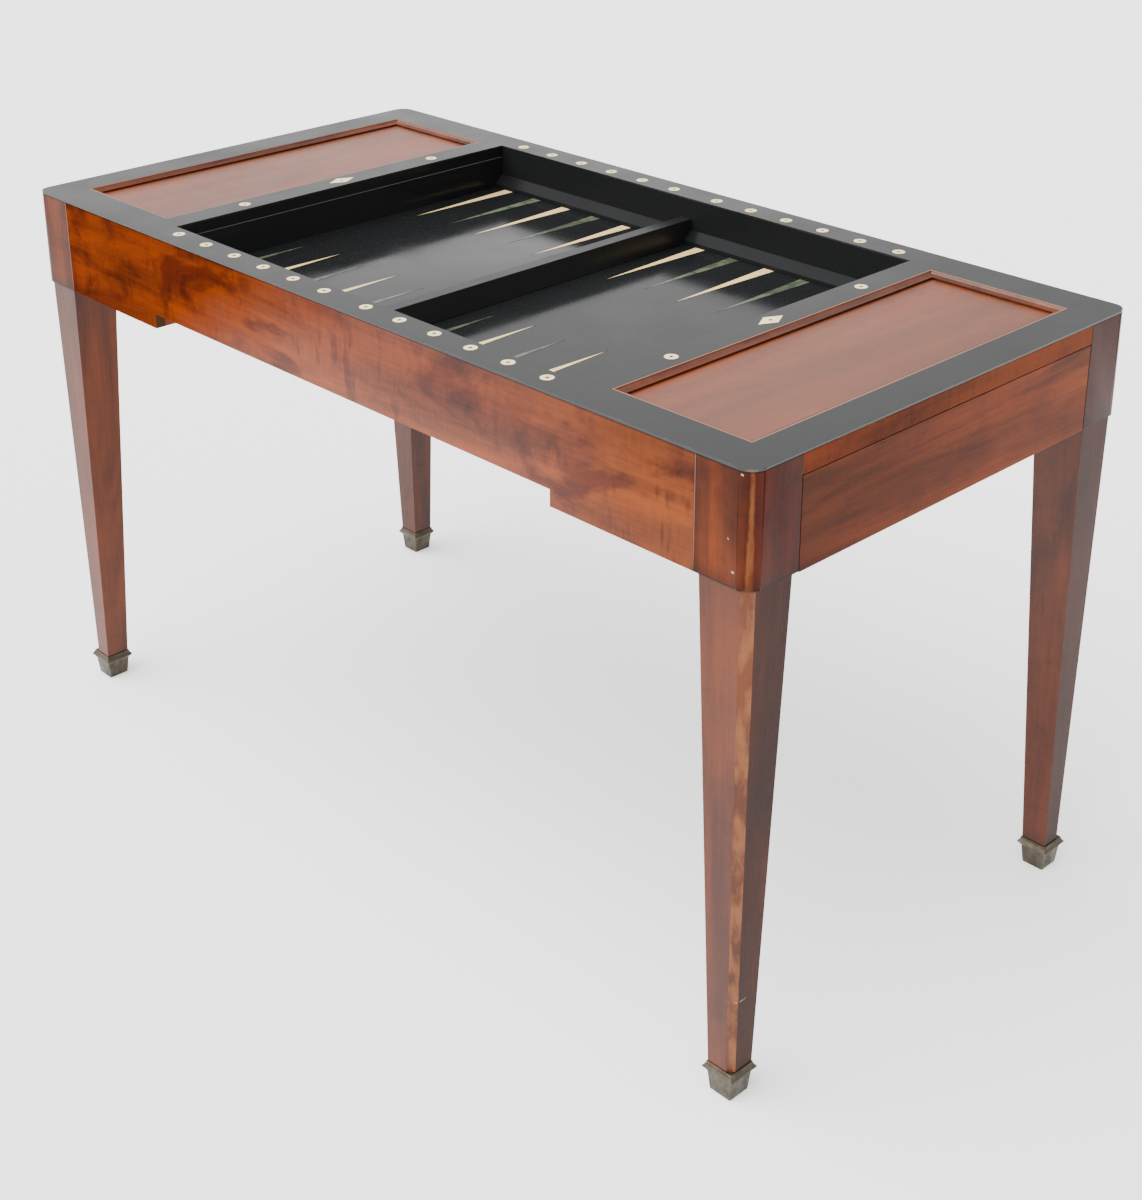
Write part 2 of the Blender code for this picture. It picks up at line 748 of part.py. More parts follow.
def panel_side_rails():
    """The rails along the aprons under the panel's long edges."""
    along = (CROSS_RIM_END + FIT_GAP, POST_INNER_X - FIT_GAP)
    outer = APRON_INNER - FIT_GAP
    for place, side in SIDES:
        item = board(
            f"panel_side_rail_{place}_right",
            along,
            span(side, PANEL_HALF_WIDTH + FIT_GAP, outer),
            (END_RAIL_UNDERSIDE, CARCASE_TOP),
            "mahogany",
        )
        across = span(side, PANEL_HALF_WIDTH - LIP_WIDTH, (PANEL_HALF_WIDTH + outer) / 2)
        yield join(item, panel_lip(f"side_rail_lip_{place}", along, across))


def panel():
    half = PANEL_HALF_WIDTH - FIT_GAP
    return board(
        "end_panel_right",
        (CROSS_RIM_END + FIT_GAP, PANEL_OPENING_END - FIT_GAP),
        (-half, half),
        (PANEL_UNDERSIDE, PANEL_TOP),
        "mahogany",
    )


def cove_profile():
    """The moulding's section as (distance from the rim, height): flat top, hollow, thin edge."""
    top = TABLE_HEIGHT - COVE_TOP_DROP
    low = PANEL_TOP + FIT_GAP
    points = [(0, low), (0, top)]
    for i in range(COVE_SEGMENTS + 1):
        angle = math.pi / 2 * i / COVE_SEGMENTS
        across = COVE_WIDTH - (COVE_WIDTH - COVE_EDGE) * math.cos(angle)
        points.append((across, top - (top - low - COVE_EDGE) * math.sin(angle)))
    return points + [(COVE_WIDTH, low)]


def cove(name, half, matrix):
    """A moulding this far to each side, its ends drawn in by their distance from the rim."""
    item = outline_solid(name, [cove_profile()], half * 2, Matrix(), "mahogany")
    for vert in item.data.vertices:
        across, height, along = vert.co
        vert.co = (math.copysign(half - across, along), across, height)
    item.matrix_world = matrix
    return item


def coves():
    """Four mitred mouldings round the panel, each with its back to the rim."""
    middle = (CROSS_RIM_END + PANEL_OPENING_END) / 2
    length = (PANEL_OPENING_END - CROSS_RIM_END) / 2 - FIT_GAP
    width = PANEL_HALF_WIDTH - FIT_GAP
    around = (
        ("cove_front_right", 0, length, width),
        ("cove_right_outer", 1, width, length),
        ("cove_back_right", 2, length, width),
        ("cove_right_inner", 3, width, length),
    )
    for name, quarter, half, setback in around:
        turn = Matrix.Rotation(quarter * math.pi / 2, 4, "Z")
        back = Matrix.Translation((0, -setback, 0))
        yield cove(name, half - FIT_GAP, Matrix.Translation((middle, 0, 0)) @ turn @ back)


# Drawer runners

def runners():
    """Each runner carries a drawer side on its ledge and guides it with its upright web."""
    root = PARTITION_END + FIT_GAP
    shoulder = POST_INNER_X - FIT_GAP
    inner = POST_INNER_Y - RUNNER_LEDGE
    level = (LEDGE_BOTTOM, LEDGE_TOP)
    for place, side in SIDES:
        item = board(
            f"drawer_runner_{place}_right",
            (root, shoulder),
            span(side, GUIDE_INNER, GUIDE_INNER + RUNNER_GUIDE),
            (LEDGE_BOTTOM, END_RAIL_UNDERSIDE - FIT_GAP),
            "inner wood",
        )
        across = span(side, inner, GUIDE_INNER + RUNNER_GUIDE / 2)
        ledge = board(f"ledge_{place}", (root, shoulder), across, level)
        past_post = (shoulder - RUNNER_THICKNESS, DRAWER_FRONT_BACK - RUNNER_END_GAP)
        nose = board(f"ledge_nose_{place}", past_post, span(side, inner, POST_INNER_Y - FIT_GAP), level)
        yield join(item, ledge, nose)


# Drawer, dovetailed at all four corners

def tail_levels(low, high):
    """(middle, half width at the tip, half width at the root) of each tail between two heights."""
    pitch = (high - low) / TAILS
    for i in range(TAILS):
        yield low + (i + 0.5) * pitch, TAIL_TIP_SHARE * pitch / 2, TAIL_ROOT_SHARE * pitch / 2


def tail_edge(root, tip, levels):
    """A dovetailed edge, upwards: at the root between tails, flared out to each tail's tip."""
    points = []
    for middle, half_tip, half_root in tail_levels(*levels):
        points.append((root, middle - half_root))
        points.append((tip, middle - half_tip))
        points.append((tip, middle + half_tip))
        points.append((root, middle + half_root))
    return points


def side_outline():
    """A drawer side: tails into the front and the back, and a corner above and below the back."""
    front_root = DRAWER_FRONT_BACK - FIT_GAP
    back_root = DRAWER_BACK_FACE + FIT_GAP
    low, high = BACK_TAILS[0] - FIT_GAP, BACK_TAILS[1] + FIT_GAP
    start = [(DRAWER_BACK_END, DRAWER_SIDE_BOTTOM), (front_root, DRAWER_SIDE_BOTTOM)]
    top = [(front_root, DRAWER_SIDE_TOP), (DRAWER_BACK_END, DRAWER_SIDE_TOP)]
    over = [(DRAWER_BACK_END, high), (back_root, high)]
    under = [(back_root, low), (DRAWER_BACK_END, low)]
    front = tail_edge(front_root, FRONT_TAIL_TIP, FRONT_TAILS)
    back = tail_edge(back_root, DRAWER_BACK_END, BACK_TAILS)
    return start + front + top + over + back[::-1] + under


def tail_sockets(name, root, tip, levels, past):
    """Cutters for both sides' tails, the fit gap larger, run past the tips by this much."""
    way = math.copysign(1, tip - root)
    mouth, end = root - way * CUT_OVERRUN, tip + way * past
    outlines = []
    for middle, half_tip, half_root in tail_levels(*levels):
        slope = (half_tip - half_root) / abs(tip - root)
        wide = half_tip + FIT_GAP + slope * past
        narrow = half_root + FIT_GAP - slope * CUT_OVERRUN
        low = [(mouth, middle - narrow), (end, middle - wide)]
        outlines.append(low + [(end, middle + wide), (mouth, middle + narrow)])
    inner, outer = DRAWER_INNER - FIT_GAP, DRAWER_HALF_WIDTH + CUT_OVERRUN
    for place, side in SIDES:
        matrix = upright(side * (inner + outer) / 2)
        yield outline_solid(f"{name}_{place}", outlines, outer - inner, matrix)


def bottom_groove(name, x, y):
    return board(name, x, y, (BOTTOM_LOW - FIT_GAP, BOTTOM_HIGH + FIT_GAP))


def drawer_front():
    """The drawer's face, flush with the posts, its ends socketed but not cut through."""
    item = board(
        "drawer_right_front",
        (DRAWER_FRONT_BACK, HALF_LENGTH),
        (-DRAWER_HALF_WIDTH, DRAWER_HALF_WIDTH),
        (POST_FOOT - DRAWER_FRONT_OVERHANG, DRAWER_FRONT_TOP),
        "mahogany",
    )
    cut(item, *tail_sockets("front_sockets", DRAWER_FRONT_BACK, FRONT_TAIL_TIP, FRONT_TAILS, FIT_GAP))
    reach = DRAWER_INNER + DRAWER_GROOVE + FIT_GAP
    along = (DRAWER_FRONT_BACK - CUT_OVERRUN, DRAWER_FRONT_BACK + DRAWER_GROOVE + FIT_GAP)
    return cut(item, bottom_groove("front_groove", along, (-reach, reach)))


def drawer_back():
    """The back board, over the bottom, with sockets right through it for the sides' tails."""
    item = board(
        "drawer_right_back",
        (DRAWER_BACK_END, DRAWER_BACK_FACE),
        (-DRAWER_HALF_WIDTH, DRAWER_HALF_WIDTH),
        BACK_TAILS,
        "inner wood",
    )
    sockets = tail_sockets("back_sockets", DRAWER_BACK_FACE, DRAWER_BACK_END, BACK_TAILS, CUT_OVERRUN)
    return cut(item, *sockets)


def drawer_sides():
    along = (DRAWER_BACK_END - CUT_OVERRUN, FRONT_TAIL_TIP + CUT_OVERRUN)
    for place, side in SIDES:
        matrix = upright(side * (DRAWER_INNER + DRAWER_BOARD / 2))
        item = outline_solid(
            f"drawer_side_{place}_right", [side_outline()], DRAWER_BOARD, matrix, "inner wood"
        )
        across = span(side, DRAWER_INNER - CUT_OVERRUN, DRAWER_INNER + DRAWER_GROOVE + FIT_GAP)
        yield cut(item, bottom_groove(f"side_groove_{place}", along, across))


def drawer_bottom():
    half = DRAWER_INNER + DRAWER_GROOVE
    return board(
        "drawer_right_bottom",
        (DRAWER_BACK_END, DRAWER_FRONT_BACK + DRAWER_GROOVE),
        (-half, half),
        (BOTTOM_LOW, BOTTOM_HIGH),
        "inner wood",
    )


# The two ends

def add_empty(name, parent=None, location=(0, 0, 0), turn=0):
    item = bpy.data.objects.new(name, None)
    TABLE.objects.link(item)
    item.parent = parent
    item.location = location
    item.rotation_euler.z = turn
    return item


def with_cutters(items):
    """These pieces, then every shape that their Booleans use, each once and in order."""
    used = [modifier.object for item in items for modifier in item.modifiers]
    return [*items, *dict.fromkeys(used)]


def parent_to(items, empty):
    """Parent pieces that stand in place, so that they stay there."""
    for item in items:
        item.location -= empty.location
        item.parent = empty


def twin_name(name):
    for right, left in TWIN_NAMES:
        if right in name:
            return name.replace(right, left)
    return name


def add_twins(items, empty):
    """Copy these pieces and cutters under an empty that is turned half round, meshes shared."""
    twins = {}
    for item in items:
        twins[item] = item.copy()
        twins[item].name = twin_name(item.name)
        twins[item].parent = empty
        item.users_collection[0].objects.link(twins[item])
    for twin in twins.values():
        for modifier in twin.modifiers:
            modifier.object = twins[modifier.object]


def ends():
    """The right end's fixed pieces and its drawer, then the left end as their twins."""
    fixed = [cross_rim(), end_rim(), *side_rims(), *legs(), *sabots(), partition(), well_floor()]
    fixed += [panel_rail(), end_top_rail(), *panel_side_rails(), panel(), *coves(), *runners()]
    drawer = [drawer_front(), drawer_back(), *drawer_sides(), drawer_bottom()]
    fixed, drawer = with_cutters(fixed), with_cutters(drawer)
    slide_start = (DRAWER_FRONT_BACK, 0, LEDGE_TOP)
    right_end = add_empty("right_end")
    left_end = add_empty("left_end", turn=math.pi)
    right_slide = add_empty("drawer_right_slide", right_end, slide_start)
    left_slide = add_empty("drawer_left_slide", left_end, slide_start)
    parent_to(fixed, right_end)
    parent_to(drawer, right_slide)
    add_twins(fixed, left_end)
    add_twins(drawer, left_slide)


def build():
    well_rims()
    aprons()
    linings()
    divider()
    ends()


build()
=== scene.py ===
"""Tric trac table, dressed for its picture: polished mahogany, ebonised rim and wells, bone and green inlay.

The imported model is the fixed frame.  Every piece here is worked out from it, in metres, with its
place in its mesh.
"""

import math

import bmesh
import bpy
import numpy as np
from bpy.props import FloatProperty, FloatVectorProperty, PointerProperty
from bpy.types import Operator, Panel, PropertyGroup
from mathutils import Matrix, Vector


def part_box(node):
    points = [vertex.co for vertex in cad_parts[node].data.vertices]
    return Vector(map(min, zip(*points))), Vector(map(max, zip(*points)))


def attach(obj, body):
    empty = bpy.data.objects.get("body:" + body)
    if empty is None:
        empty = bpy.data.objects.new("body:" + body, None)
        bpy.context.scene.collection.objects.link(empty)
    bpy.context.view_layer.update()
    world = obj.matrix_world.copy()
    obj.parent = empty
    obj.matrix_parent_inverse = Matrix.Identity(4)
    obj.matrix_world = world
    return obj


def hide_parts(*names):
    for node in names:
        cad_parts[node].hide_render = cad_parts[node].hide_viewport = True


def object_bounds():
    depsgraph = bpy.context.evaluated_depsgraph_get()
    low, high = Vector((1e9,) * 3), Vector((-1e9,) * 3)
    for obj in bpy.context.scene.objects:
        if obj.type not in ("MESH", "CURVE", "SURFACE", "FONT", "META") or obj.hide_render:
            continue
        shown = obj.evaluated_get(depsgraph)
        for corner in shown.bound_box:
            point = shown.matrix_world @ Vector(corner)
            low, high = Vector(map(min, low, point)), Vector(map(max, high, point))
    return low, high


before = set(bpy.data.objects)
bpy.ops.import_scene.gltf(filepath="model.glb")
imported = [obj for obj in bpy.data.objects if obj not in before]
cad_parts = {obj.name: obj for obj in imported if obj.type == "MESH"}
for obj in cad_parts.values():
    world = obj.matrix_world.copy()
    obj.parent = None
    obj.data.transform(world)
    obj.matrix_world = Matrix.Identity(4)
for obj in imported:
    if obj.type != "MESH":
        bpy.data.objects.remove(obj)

bl_info = {
    "name": "Tric Trac Table",
    "version": (1, 0, 0),
    "blender": (4, 5, 0),
    "location": "View3D > Sidebar > Table",
    "description": "Dresses the tric trac table in its polished wood, inlay and metal",
    "category": "Object",
}

# Places read from the frame
CAD_BOX = [list(corner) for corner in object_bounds()]
HALF_LENGTH, HALF_WIDTH, TOP = CAD_BOX[1]
WELL_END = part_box("partition_right")[0].x
WELL_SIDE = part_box("rim_back")[0].y
FILLET_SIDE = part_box("well_lining_back")[0].y
FLOOR_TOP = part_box("well_lining_back")[0].z
DIVIDER_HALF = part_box("well_divider")[1].x
CROSS_RIM_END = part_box("rim_cross_right")[1].x
CROSS_MIDDLE = (WELL_END + CROSS_RIM_END) / 2
POST_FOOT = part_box("partition_right")[0].z
SABOT_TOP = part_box("sabot_front_right")[1].z
RIM_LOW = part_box("rim_front")[0].z
POST_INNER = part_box("leg_front_right")[0].x

# Joints and edges of the solids
JOINT_GAP = 0.0003
SEAM_FILL = 0.45 * JOINT_GAP
SAME_PLACE = 1e-5
MERGE_REACH = 2e-6
FLAT_ANGLE = math.radians(0.4)
SHARP_ANGLE = math.radians(28)
SMOOTH_ANGLE = math.radians(32)
SHORTEST_ROUNDED = 0.0042
EDGE_REACH = 0.019

# Sizes that only the finished pieces have
CUP_FOOT_HALF = 0.0142
FLOOR_REACH = 30.0
PARTITION_LINE = TOP - 0.0167

# Wear, as places on the near post and leg, and the middle of the highlight painted down the post's front
POST_HIGHLIGHT = POST_INNER + 0.36 * (HALF_LENGTH - POST_INNER)
SCRATCH_LEVEL = 0.125
CHIPS = (
    ((HALF_LENGTH - 0.013, -HALF_WIDTH, RIM_LOW - 0.0036), 0.0012),
    ((HALF_LENGTH - 0.027, -HALF_WIDTH, POST_FOOT + 0.049), 0.0008),
    ((HALF_LENGTH - 0.020, -HALF_WIDTH, POST_FOOT + 0.017), 0.0013),
)

# How light the wood of each leg is
LEG_LIGHT = {"front_right": 0.53, "front_left": 0.53, "back_right": 0.48, "back_left": 0.42}

# Inlay, as the source sets it out
POINTS_PER_ROW = 6
PITCH = (WELL_END - DIVIDER_HALF) / POINTS_PER_ROW
RAIL_WIDTH = HALF_WIDTH - WELL_SIDE
PEG_SHARE = 0.617
END_DISC_SHARE = 0.575
PEG_ROW = HALF_WIDTH - PEG_SHARE * RAIL_WIDTH
END_DISC = END_DISC_SHARE * WELL_SIDE
DISC_RADIUS = 0.0077
HOLE_RADIUS = 0.0015
LOZENGE = (0.0107, 0.0203)
POINT_BASE = 0.016
BONE_SHARE = 0.342
GREEN_SHARE = 0.325

ENDS = (("right", 1), ("left", -1))
SIDES = (("front", -1), ("back", 1))
AXES = "xyz"


class TableFinish(PropertyGroup):
    """Colours and polish of the table's finishes."""

    mahogany_dark: FloatVectorProperty(
        name="Dark mahogany", description="Darkest figure in the wood", subtype="COLOR",
        default=(0.040, 0.0075, 0.0022))
    mahogany_light: FloatVectorProperty(
        name="Light mahogany", description="Lightest figure in the wood", subtype="COLOR",
        default=(0.235, 0.046, 0.0085))
    mahogany_worn: FloatVectorProperty(
        name="Worn mahogany", description="Wood where the polish has rubbed through", subtype="COLOR",
        default=(0.27, 0.095, 0.030))
    ebony: FloatVectorProperty(
        name="Ebonised wood", description="Black of the rim and the wells", subtype="COLOR",
        default=(0.010, 0.0105, 0.011))
    bone: FloatVectorProperty(
        name="Bone", description="Discs, lozenges and half of the points", subtype="COLOR",
        default=(0.88, 0.70, 0.40))
    green: FloatVectorProperty(
        name="Green bone", description="The other half of the points", subtype="COLOR",
        default=(0.054, 0.069, 0.043))
    brass: FloatVectorProperty(
        name="Old brass", description="Patina of the foot cups", subtype="COLOR",
        default=(0.080, 0.066, 0.045))
    inner: FloatVectorProperty(
        name="Inner wood", description="Bare wood inside the drawers", subtype="COLOR",
        default=(0.42, 0.27, 0.14))
    polish: FloatProperty(
        name="Polish roughness", description="Roughness of the polished mahogany", default=0.34,
        min=0.0, max=1.0, subtype="FACTOR")
    black_polish: FloatProperty(
        name="Well roughness", description="Roughness of the glossy wells", default=0.13,
        min=0.0, max=1.0, subtype="FACTOR")


class TableDetail(PropertyGroup):
    """Small sizes that the eye reads as handwork."""

    arris: FloatProperty(
        name="Arris", description="Width of the rubbed edge of every board", default=0.0007,
        min=0.0, unit="LENGTH")
    rim_arris: FloatProperty(
        name="Rim arris", description="Width of the rubbed edge of the black rim", default=0.0003,
        min=0.0, unit="LENGTH")
    quirk: FloatProperty(
        name="Quirk", description="Height of the dark groove under a cove", default=0.0013,
        min=0.0, unit="LENGTH")
    cup_corner: FloatProperty(
        name="Cup corner", description="Radius of a foot cup's upright edges", default=0.0011,
        min=0.0, unit="LENGTH")


class StageSetting(PropertyGroup):
    """Floor, light and camera."""

    floor: FloatVectorProperty(
        name="Floor", description="Colour of the floor", subtype="COLOR", default=(0.93, 0.93, 0.93))
    key: FloatProperty(
        name="Key light", description="Strength of the broad light from the front left", default=6.5, min=0.0)
    spread: FloatProperty(
        name="Spread", description="How wide the key light is, which softens its shadows",
        default=math.radians(75), min=0.0, subtype="ANGLE")
    back: FloatProperty(
        name="Back panel", description="Brightness of the low panel at the back left", default=0.8, min=0.0)
    sky: FloatProperty(
        name="Sky", description="Strength of the light from all round", default=1.0, min=0.0)
    lens: FloatProperty(
        name="Lens", description="Focal length in millimetres", default=59.336, min=1.0)
    shift: FloatProperty(
        name="Rise", description="Shift of the lens, as a share of the picture's height", default=-0.18)
    place: FloatVectorProperty(
        name="Camera place", description="Where the camera stands", subtype="TRANSLATION",
        default=(1.6607, -1.5340, 1.4562))
    turn: FloatVectorProperty(
        name="Camera turn", description="How the camera is turned", subtype="EULER",
        default=tuple(math.radians(angle) for angle in (67.916, 0.148, 46.085)))


def finish_of():
    return bpy.context.scene.table_finish


def detail_of():
    return bpy.context.scene.table_detail


# Shaders

class Wire:
    """A shader socket that takes part in arithmetic: each sign adds one Math node."""

    def __init__(self, shade, socket):
        self.shade = shade
        self.socket = socket

    def sum(self, sign, first, second):
        return self.shade.node("Math", {"operation": sign}, {0: first, 1: second})

    def __add__(self, other):
        return self.sum("ADD", self, other)

    def __radd__(self, other):
        return self.sum("ADD", other, self)

    def __sub__(self, other):
        return self.sum("SUBTRACT", self, other)

    def __rsub__(self, other):
        return self.sum("SUBTRACT", other, self)

    def __mul__(self, other):
        return self.sum("MULTIPLY", self, other)

    def __rmul__(self, other):
        return self.sum("MULTIPLY", other, self)

    def __truediv__(self, other):
        return self.sum("DIVIDE", self, other)

    def __lt__(self, other):
        return self.sum("LESS_THAN", self, other)

    def __gt__(self, other):
        return self.sum("GREATER_THAN", self, other)

    def __abs__(self):
        return self.sum("ABSOLUTE", self, 0.0)

    def lesser(self, other):
        return self.sum("MINIMUM", self, other)

    def greater(self, other):
        return self.sum("MAXIMUM", self, other)


class Shade:
    """One material under construction."""

    def __init__(self, name, fixed):
        self.material = bpy.data.materials.new(name)
        self.material.use_nodes = True
        self.tree = self.material.node_tree
        self.surface = self.tree.nodes["Principled BSDF"]
        for socket, value in fixed.items():
            self.surface.inputs[socket].default_value = value
        self.place = self.node("TexCoord", output="Object")
        self.x, self.y, self.z = self.parts(self.place)

    def feed(self, socket, value):
        if isinstance(value, Wire):
            self.tree.links.new(value.socket, socket)
        elif hasattr(value, "__len__") and socket.type == "RGBA":
            socket.default_value = (*value[:3], 1.0)
        else:
            socket.default_value = value

    def node(self, kind, settings=None, sockets=None, output=0):
        """Any node: its settings first, then the values or links of its sockets."""
        made = self.tree.nodes.new("ShaderNode" + kind)
        for name, value in (settings or {}).items():
            setattr(made, name, value)
        for key, value in (sockets or {}).items():
            self.feed(made.inputs[key], value)
        return Wire(self, made.outputs[output])

    def parts(self, vector):
        split = self.tree.nodes.new("ShaderNodeSeparateXYZ")
        self.feed(split.inputs[0], vector)
        return [Wire(self, socket) for socket in split.outputs]

    def stretched(self, scale, seed=0.0):
        """Object coordinates times a scale on each axis, slid by the seed."""
        slide = (seed * 7.31, seed * 3.17, seed * 5.73)
        return self.node("VectorMath", {"operation": "MULTIPLY_ADD"}, {0: self.place, 1: scale, 2: slide})

    def noise(self, scale, seed=0.0, detail=3.0, rough=0.55, bend=0.0):
        """Noise of about 0.3 to 0.7, with so many cells a metre on each axis."""
        sockets = {"Vector": self.stretched(scale, seed), "Scale": 1.0, "Detail": detail,
                   "Roughness": rough, "Distortion": bend}
        return self.node("TexNoise", None, sockets, "Fac")

    def step(self, value, low, high):
        """0 up to low, 1 from high, and a smooth rise between."""
        settings = {"interpolation_type": "SMOOTHSTEP"}
        return self.node("MapRange", settings, {0: value, 1: low, 2: high, 3: 0.0, 4: 1.0})

    def mix(self, share, first, second):
        """The first colour where share is 0 and the second where it is 1."""
        return self.node("Mix", {"data_type": "RGBA"}, {0: share, 6: first, 7: second}, 2)

    def tint(self, share, colour, by):
        """A colour multiplied by another, as far as share says."""
        settings = {"data_type": "RGBA", "blend_type": "MULTIPLY"}
        return self.node("Mix", settings, {0: share, 6: colour, 7: by}, 2)

    def edge(self):
        """1 on rounded corners and chamfers, 0 on faces that look along an axis."""
        sides = [abs(part) for part in self.parts(self.node("NewGeometry", output="Normal"))]
        return self.step(1.0 - sides[0].greater(sides[1]).greater(sides[2]), 0.03, 0.2)

    def relief(self, height, depth):
        """A Bump node of this depth in metres."""
        sockets = {"Strength": 1.0, "Distance": depth, "Height": height}
        self.feed(self.surface.inputs["Normal"], self.node("Bump", None, sockets))

    def paint(self, **wires):
        for name, wire in wires.items():
            self.feed(self.surface.inputs[name.replace("_", " ").title()], wire)
        return self.material


def grain_scale(along, coarse, fine):
    """Cells a metre on each axis: coarse along the grain, and fine across it."""
    return tuple(coarse if axis == along else fine for axis in AXES)


def mahogany(name, along, seed, light=1.0, gleam=0.15, blotch=0.3, ripple=0.2, warmth=0.5, worn=0.6):
    """Polished mahogany: broad figure, fine lines and pores along the grain, with dark blotches and
    fine ripples across it.  Light scales its colour, and gleam is the strength of its sheen."""
    look = finish_of()
    shade = Shade(name, {"Specular IOR Level": gleam, "Coat Roughness": 0.24})
    broad = shade.noise(grain_scale(along, 2.4, 18.0), seed, 4.0, 0.6, 0.8)
    lines = shade.noise(grain_scale(along, 6.0, 230.0), seed + 1, 3.0)
    fibre = shade.noise(grain_scale(along, 26.0, 900.0), seed + 2, 2.0)
    pores = shade.step(shade.noise(grain_scale(along, 45.0, 1300.0), seed + 3, 1.0), 0.60, 0.72)
    clouds = shade.step(shade.noise(grain_scale(along, 5.0, 10.0), seed + 4, 4.0, 0.6), 0.36, 0.64)
    bars = shade.noise(grain_scale(along, 120.0, 24.0), seed + 5, 3.0, 0.6, 0.4)
    spots = shade.noise(grain_scale(along, 24.0, 20.0), seed + 6, 5.0, 0.62, 0.5)
    tone = broad * 0.76 + lines * 0.15 + fibre * 0.09 + (bars - 0.5) * ripple
    tone = shade.step(tone, 0.30, 0.70)
    pale = tuple(part * light for part in look.mahogany_light)
    deep = tuple(part * light for part in look.mahogany_dark)
    colour = shade.mix(tone * 0.8 + 0.12, deep, pale)
    colour = shade.tint(clouds * warmth, colour, (1.15, 1.12, 0.6))
    colour = shade.tint((1.0 - clouds) * 0.5, colour, (0.92, 0.78, 1.0))
    dark = shade.step(spots, 0.50, 0.66) * shade.step(clouds, 1.0, 0.2)
    colour = shade.tint(dark * blotch, colour, (0.24, 0.22, 0.42))
    colour = shade.tint(pores * 0.35, colour, (0.42, 0.36, 0.36))
    rubbed = shade.edge() * shade.step(shade.noise(grain_scale(along, 14.0, 60.0), seed + 7, 3.0), 0.3, 0.6)
    colour = shade.mix(rubbed * worn, colour, look.mahogany_worn)
    smear = shade.noise((9.0, 9.0, 9.0), seed + 8, 3.0)
    roughness = smear * 0.16 + pores * 0.1 + (look.polish - 0.08)
    shade.relief(lines * 0.25 + pores * -0.5 + fibre * 0.1, 0.00011)
    return shade, colour, roughness


def polished(name, along, seed, **more):
    shade, colour, roughness = mahogany(name, along, seed, **more)
    return shade.paint(base_color=colour, roughness=roughness)


def rim_shadow(shade, colour):
    """The thin dark line under the rim's outer edge."""
    line = shade.step(shade.z, RIM_LOW - 0.0022, RIM_LOW - 0.0006)
    return shade.tint(line * 0.75, colour, (0.2, 0.17, 0.18))


def apron_material(place, seed):
    """The long boards: deep orange at the left, rosier and glossier low in the middle and browner at
    the right, with soft dark clouds and short upright bars across the grain."""
    shade, colour, roughness = mahogany(
        f"apron {place}", "x", seed, light=0.9, gleam=0.0, blotch=0.5, ripple=0.13, warmth=0.7, worn=0.5)
    drift = shade.noise((3.0, 3.0, 8.0), seed + 9, 3.0) * 0.36 - 0.18
    upper = shade.step(shade.z, POST_FOOT, TOP)
    across = shade.x + drift
    left = shade.step(across - upper * 0.11, 0.02, -0.36)
    right = shade.step(across, 0.25, 0.5)
    cloud = shade.step(shade.noise((7.0, 7.0, 13.0), seed + 10, 4.0, 0.6, 0.6), 0.50, 0.66)
    patch = shade.step(shade.noise((4.5, 4.5, 9.0), seed + 11, 2.0), 0.46, 0.60)
    bars = shade.step(shade.noise((46.0, 46.0, 13.0), seed + 12, 3.0, 0.6), 0.50, 0.66) * patch
    low = shade.step(shade.z, TOP - 0.03, POST_FOOT)
    colour = shade.tint(left, colour, (0.80, 0.62, 0.14))
    colour = shade.tint(right, colour, (0.92, 1.03, 0.93))
    colour = shade.tint(cloud * 0.95, colour, (0.42, 0.32, 0.38))
    colour = shade.tint(bars * 0.85, colour, (0.44, 0.34, 0.40))
    sideways = shade.parts(shade.node("NewGeometry", output="Normal"))[0]
    end_grain = shade.step(abs(sideways), 0.8, 0.95) * (abs(shade.x) < WELL_END + 0.02)
    colour = shade.mix(end_grain * 0.85, colour, (0.040, 0.030, 0.016))
    coat = (1.0 - left) * (1.0 - right * 0.5) * (low * 0.25 + 0.38) + 0.03
    return shade.paint(base_color=rim_shadow(shade, colour), roughness=roughness, coat_weight=coat)


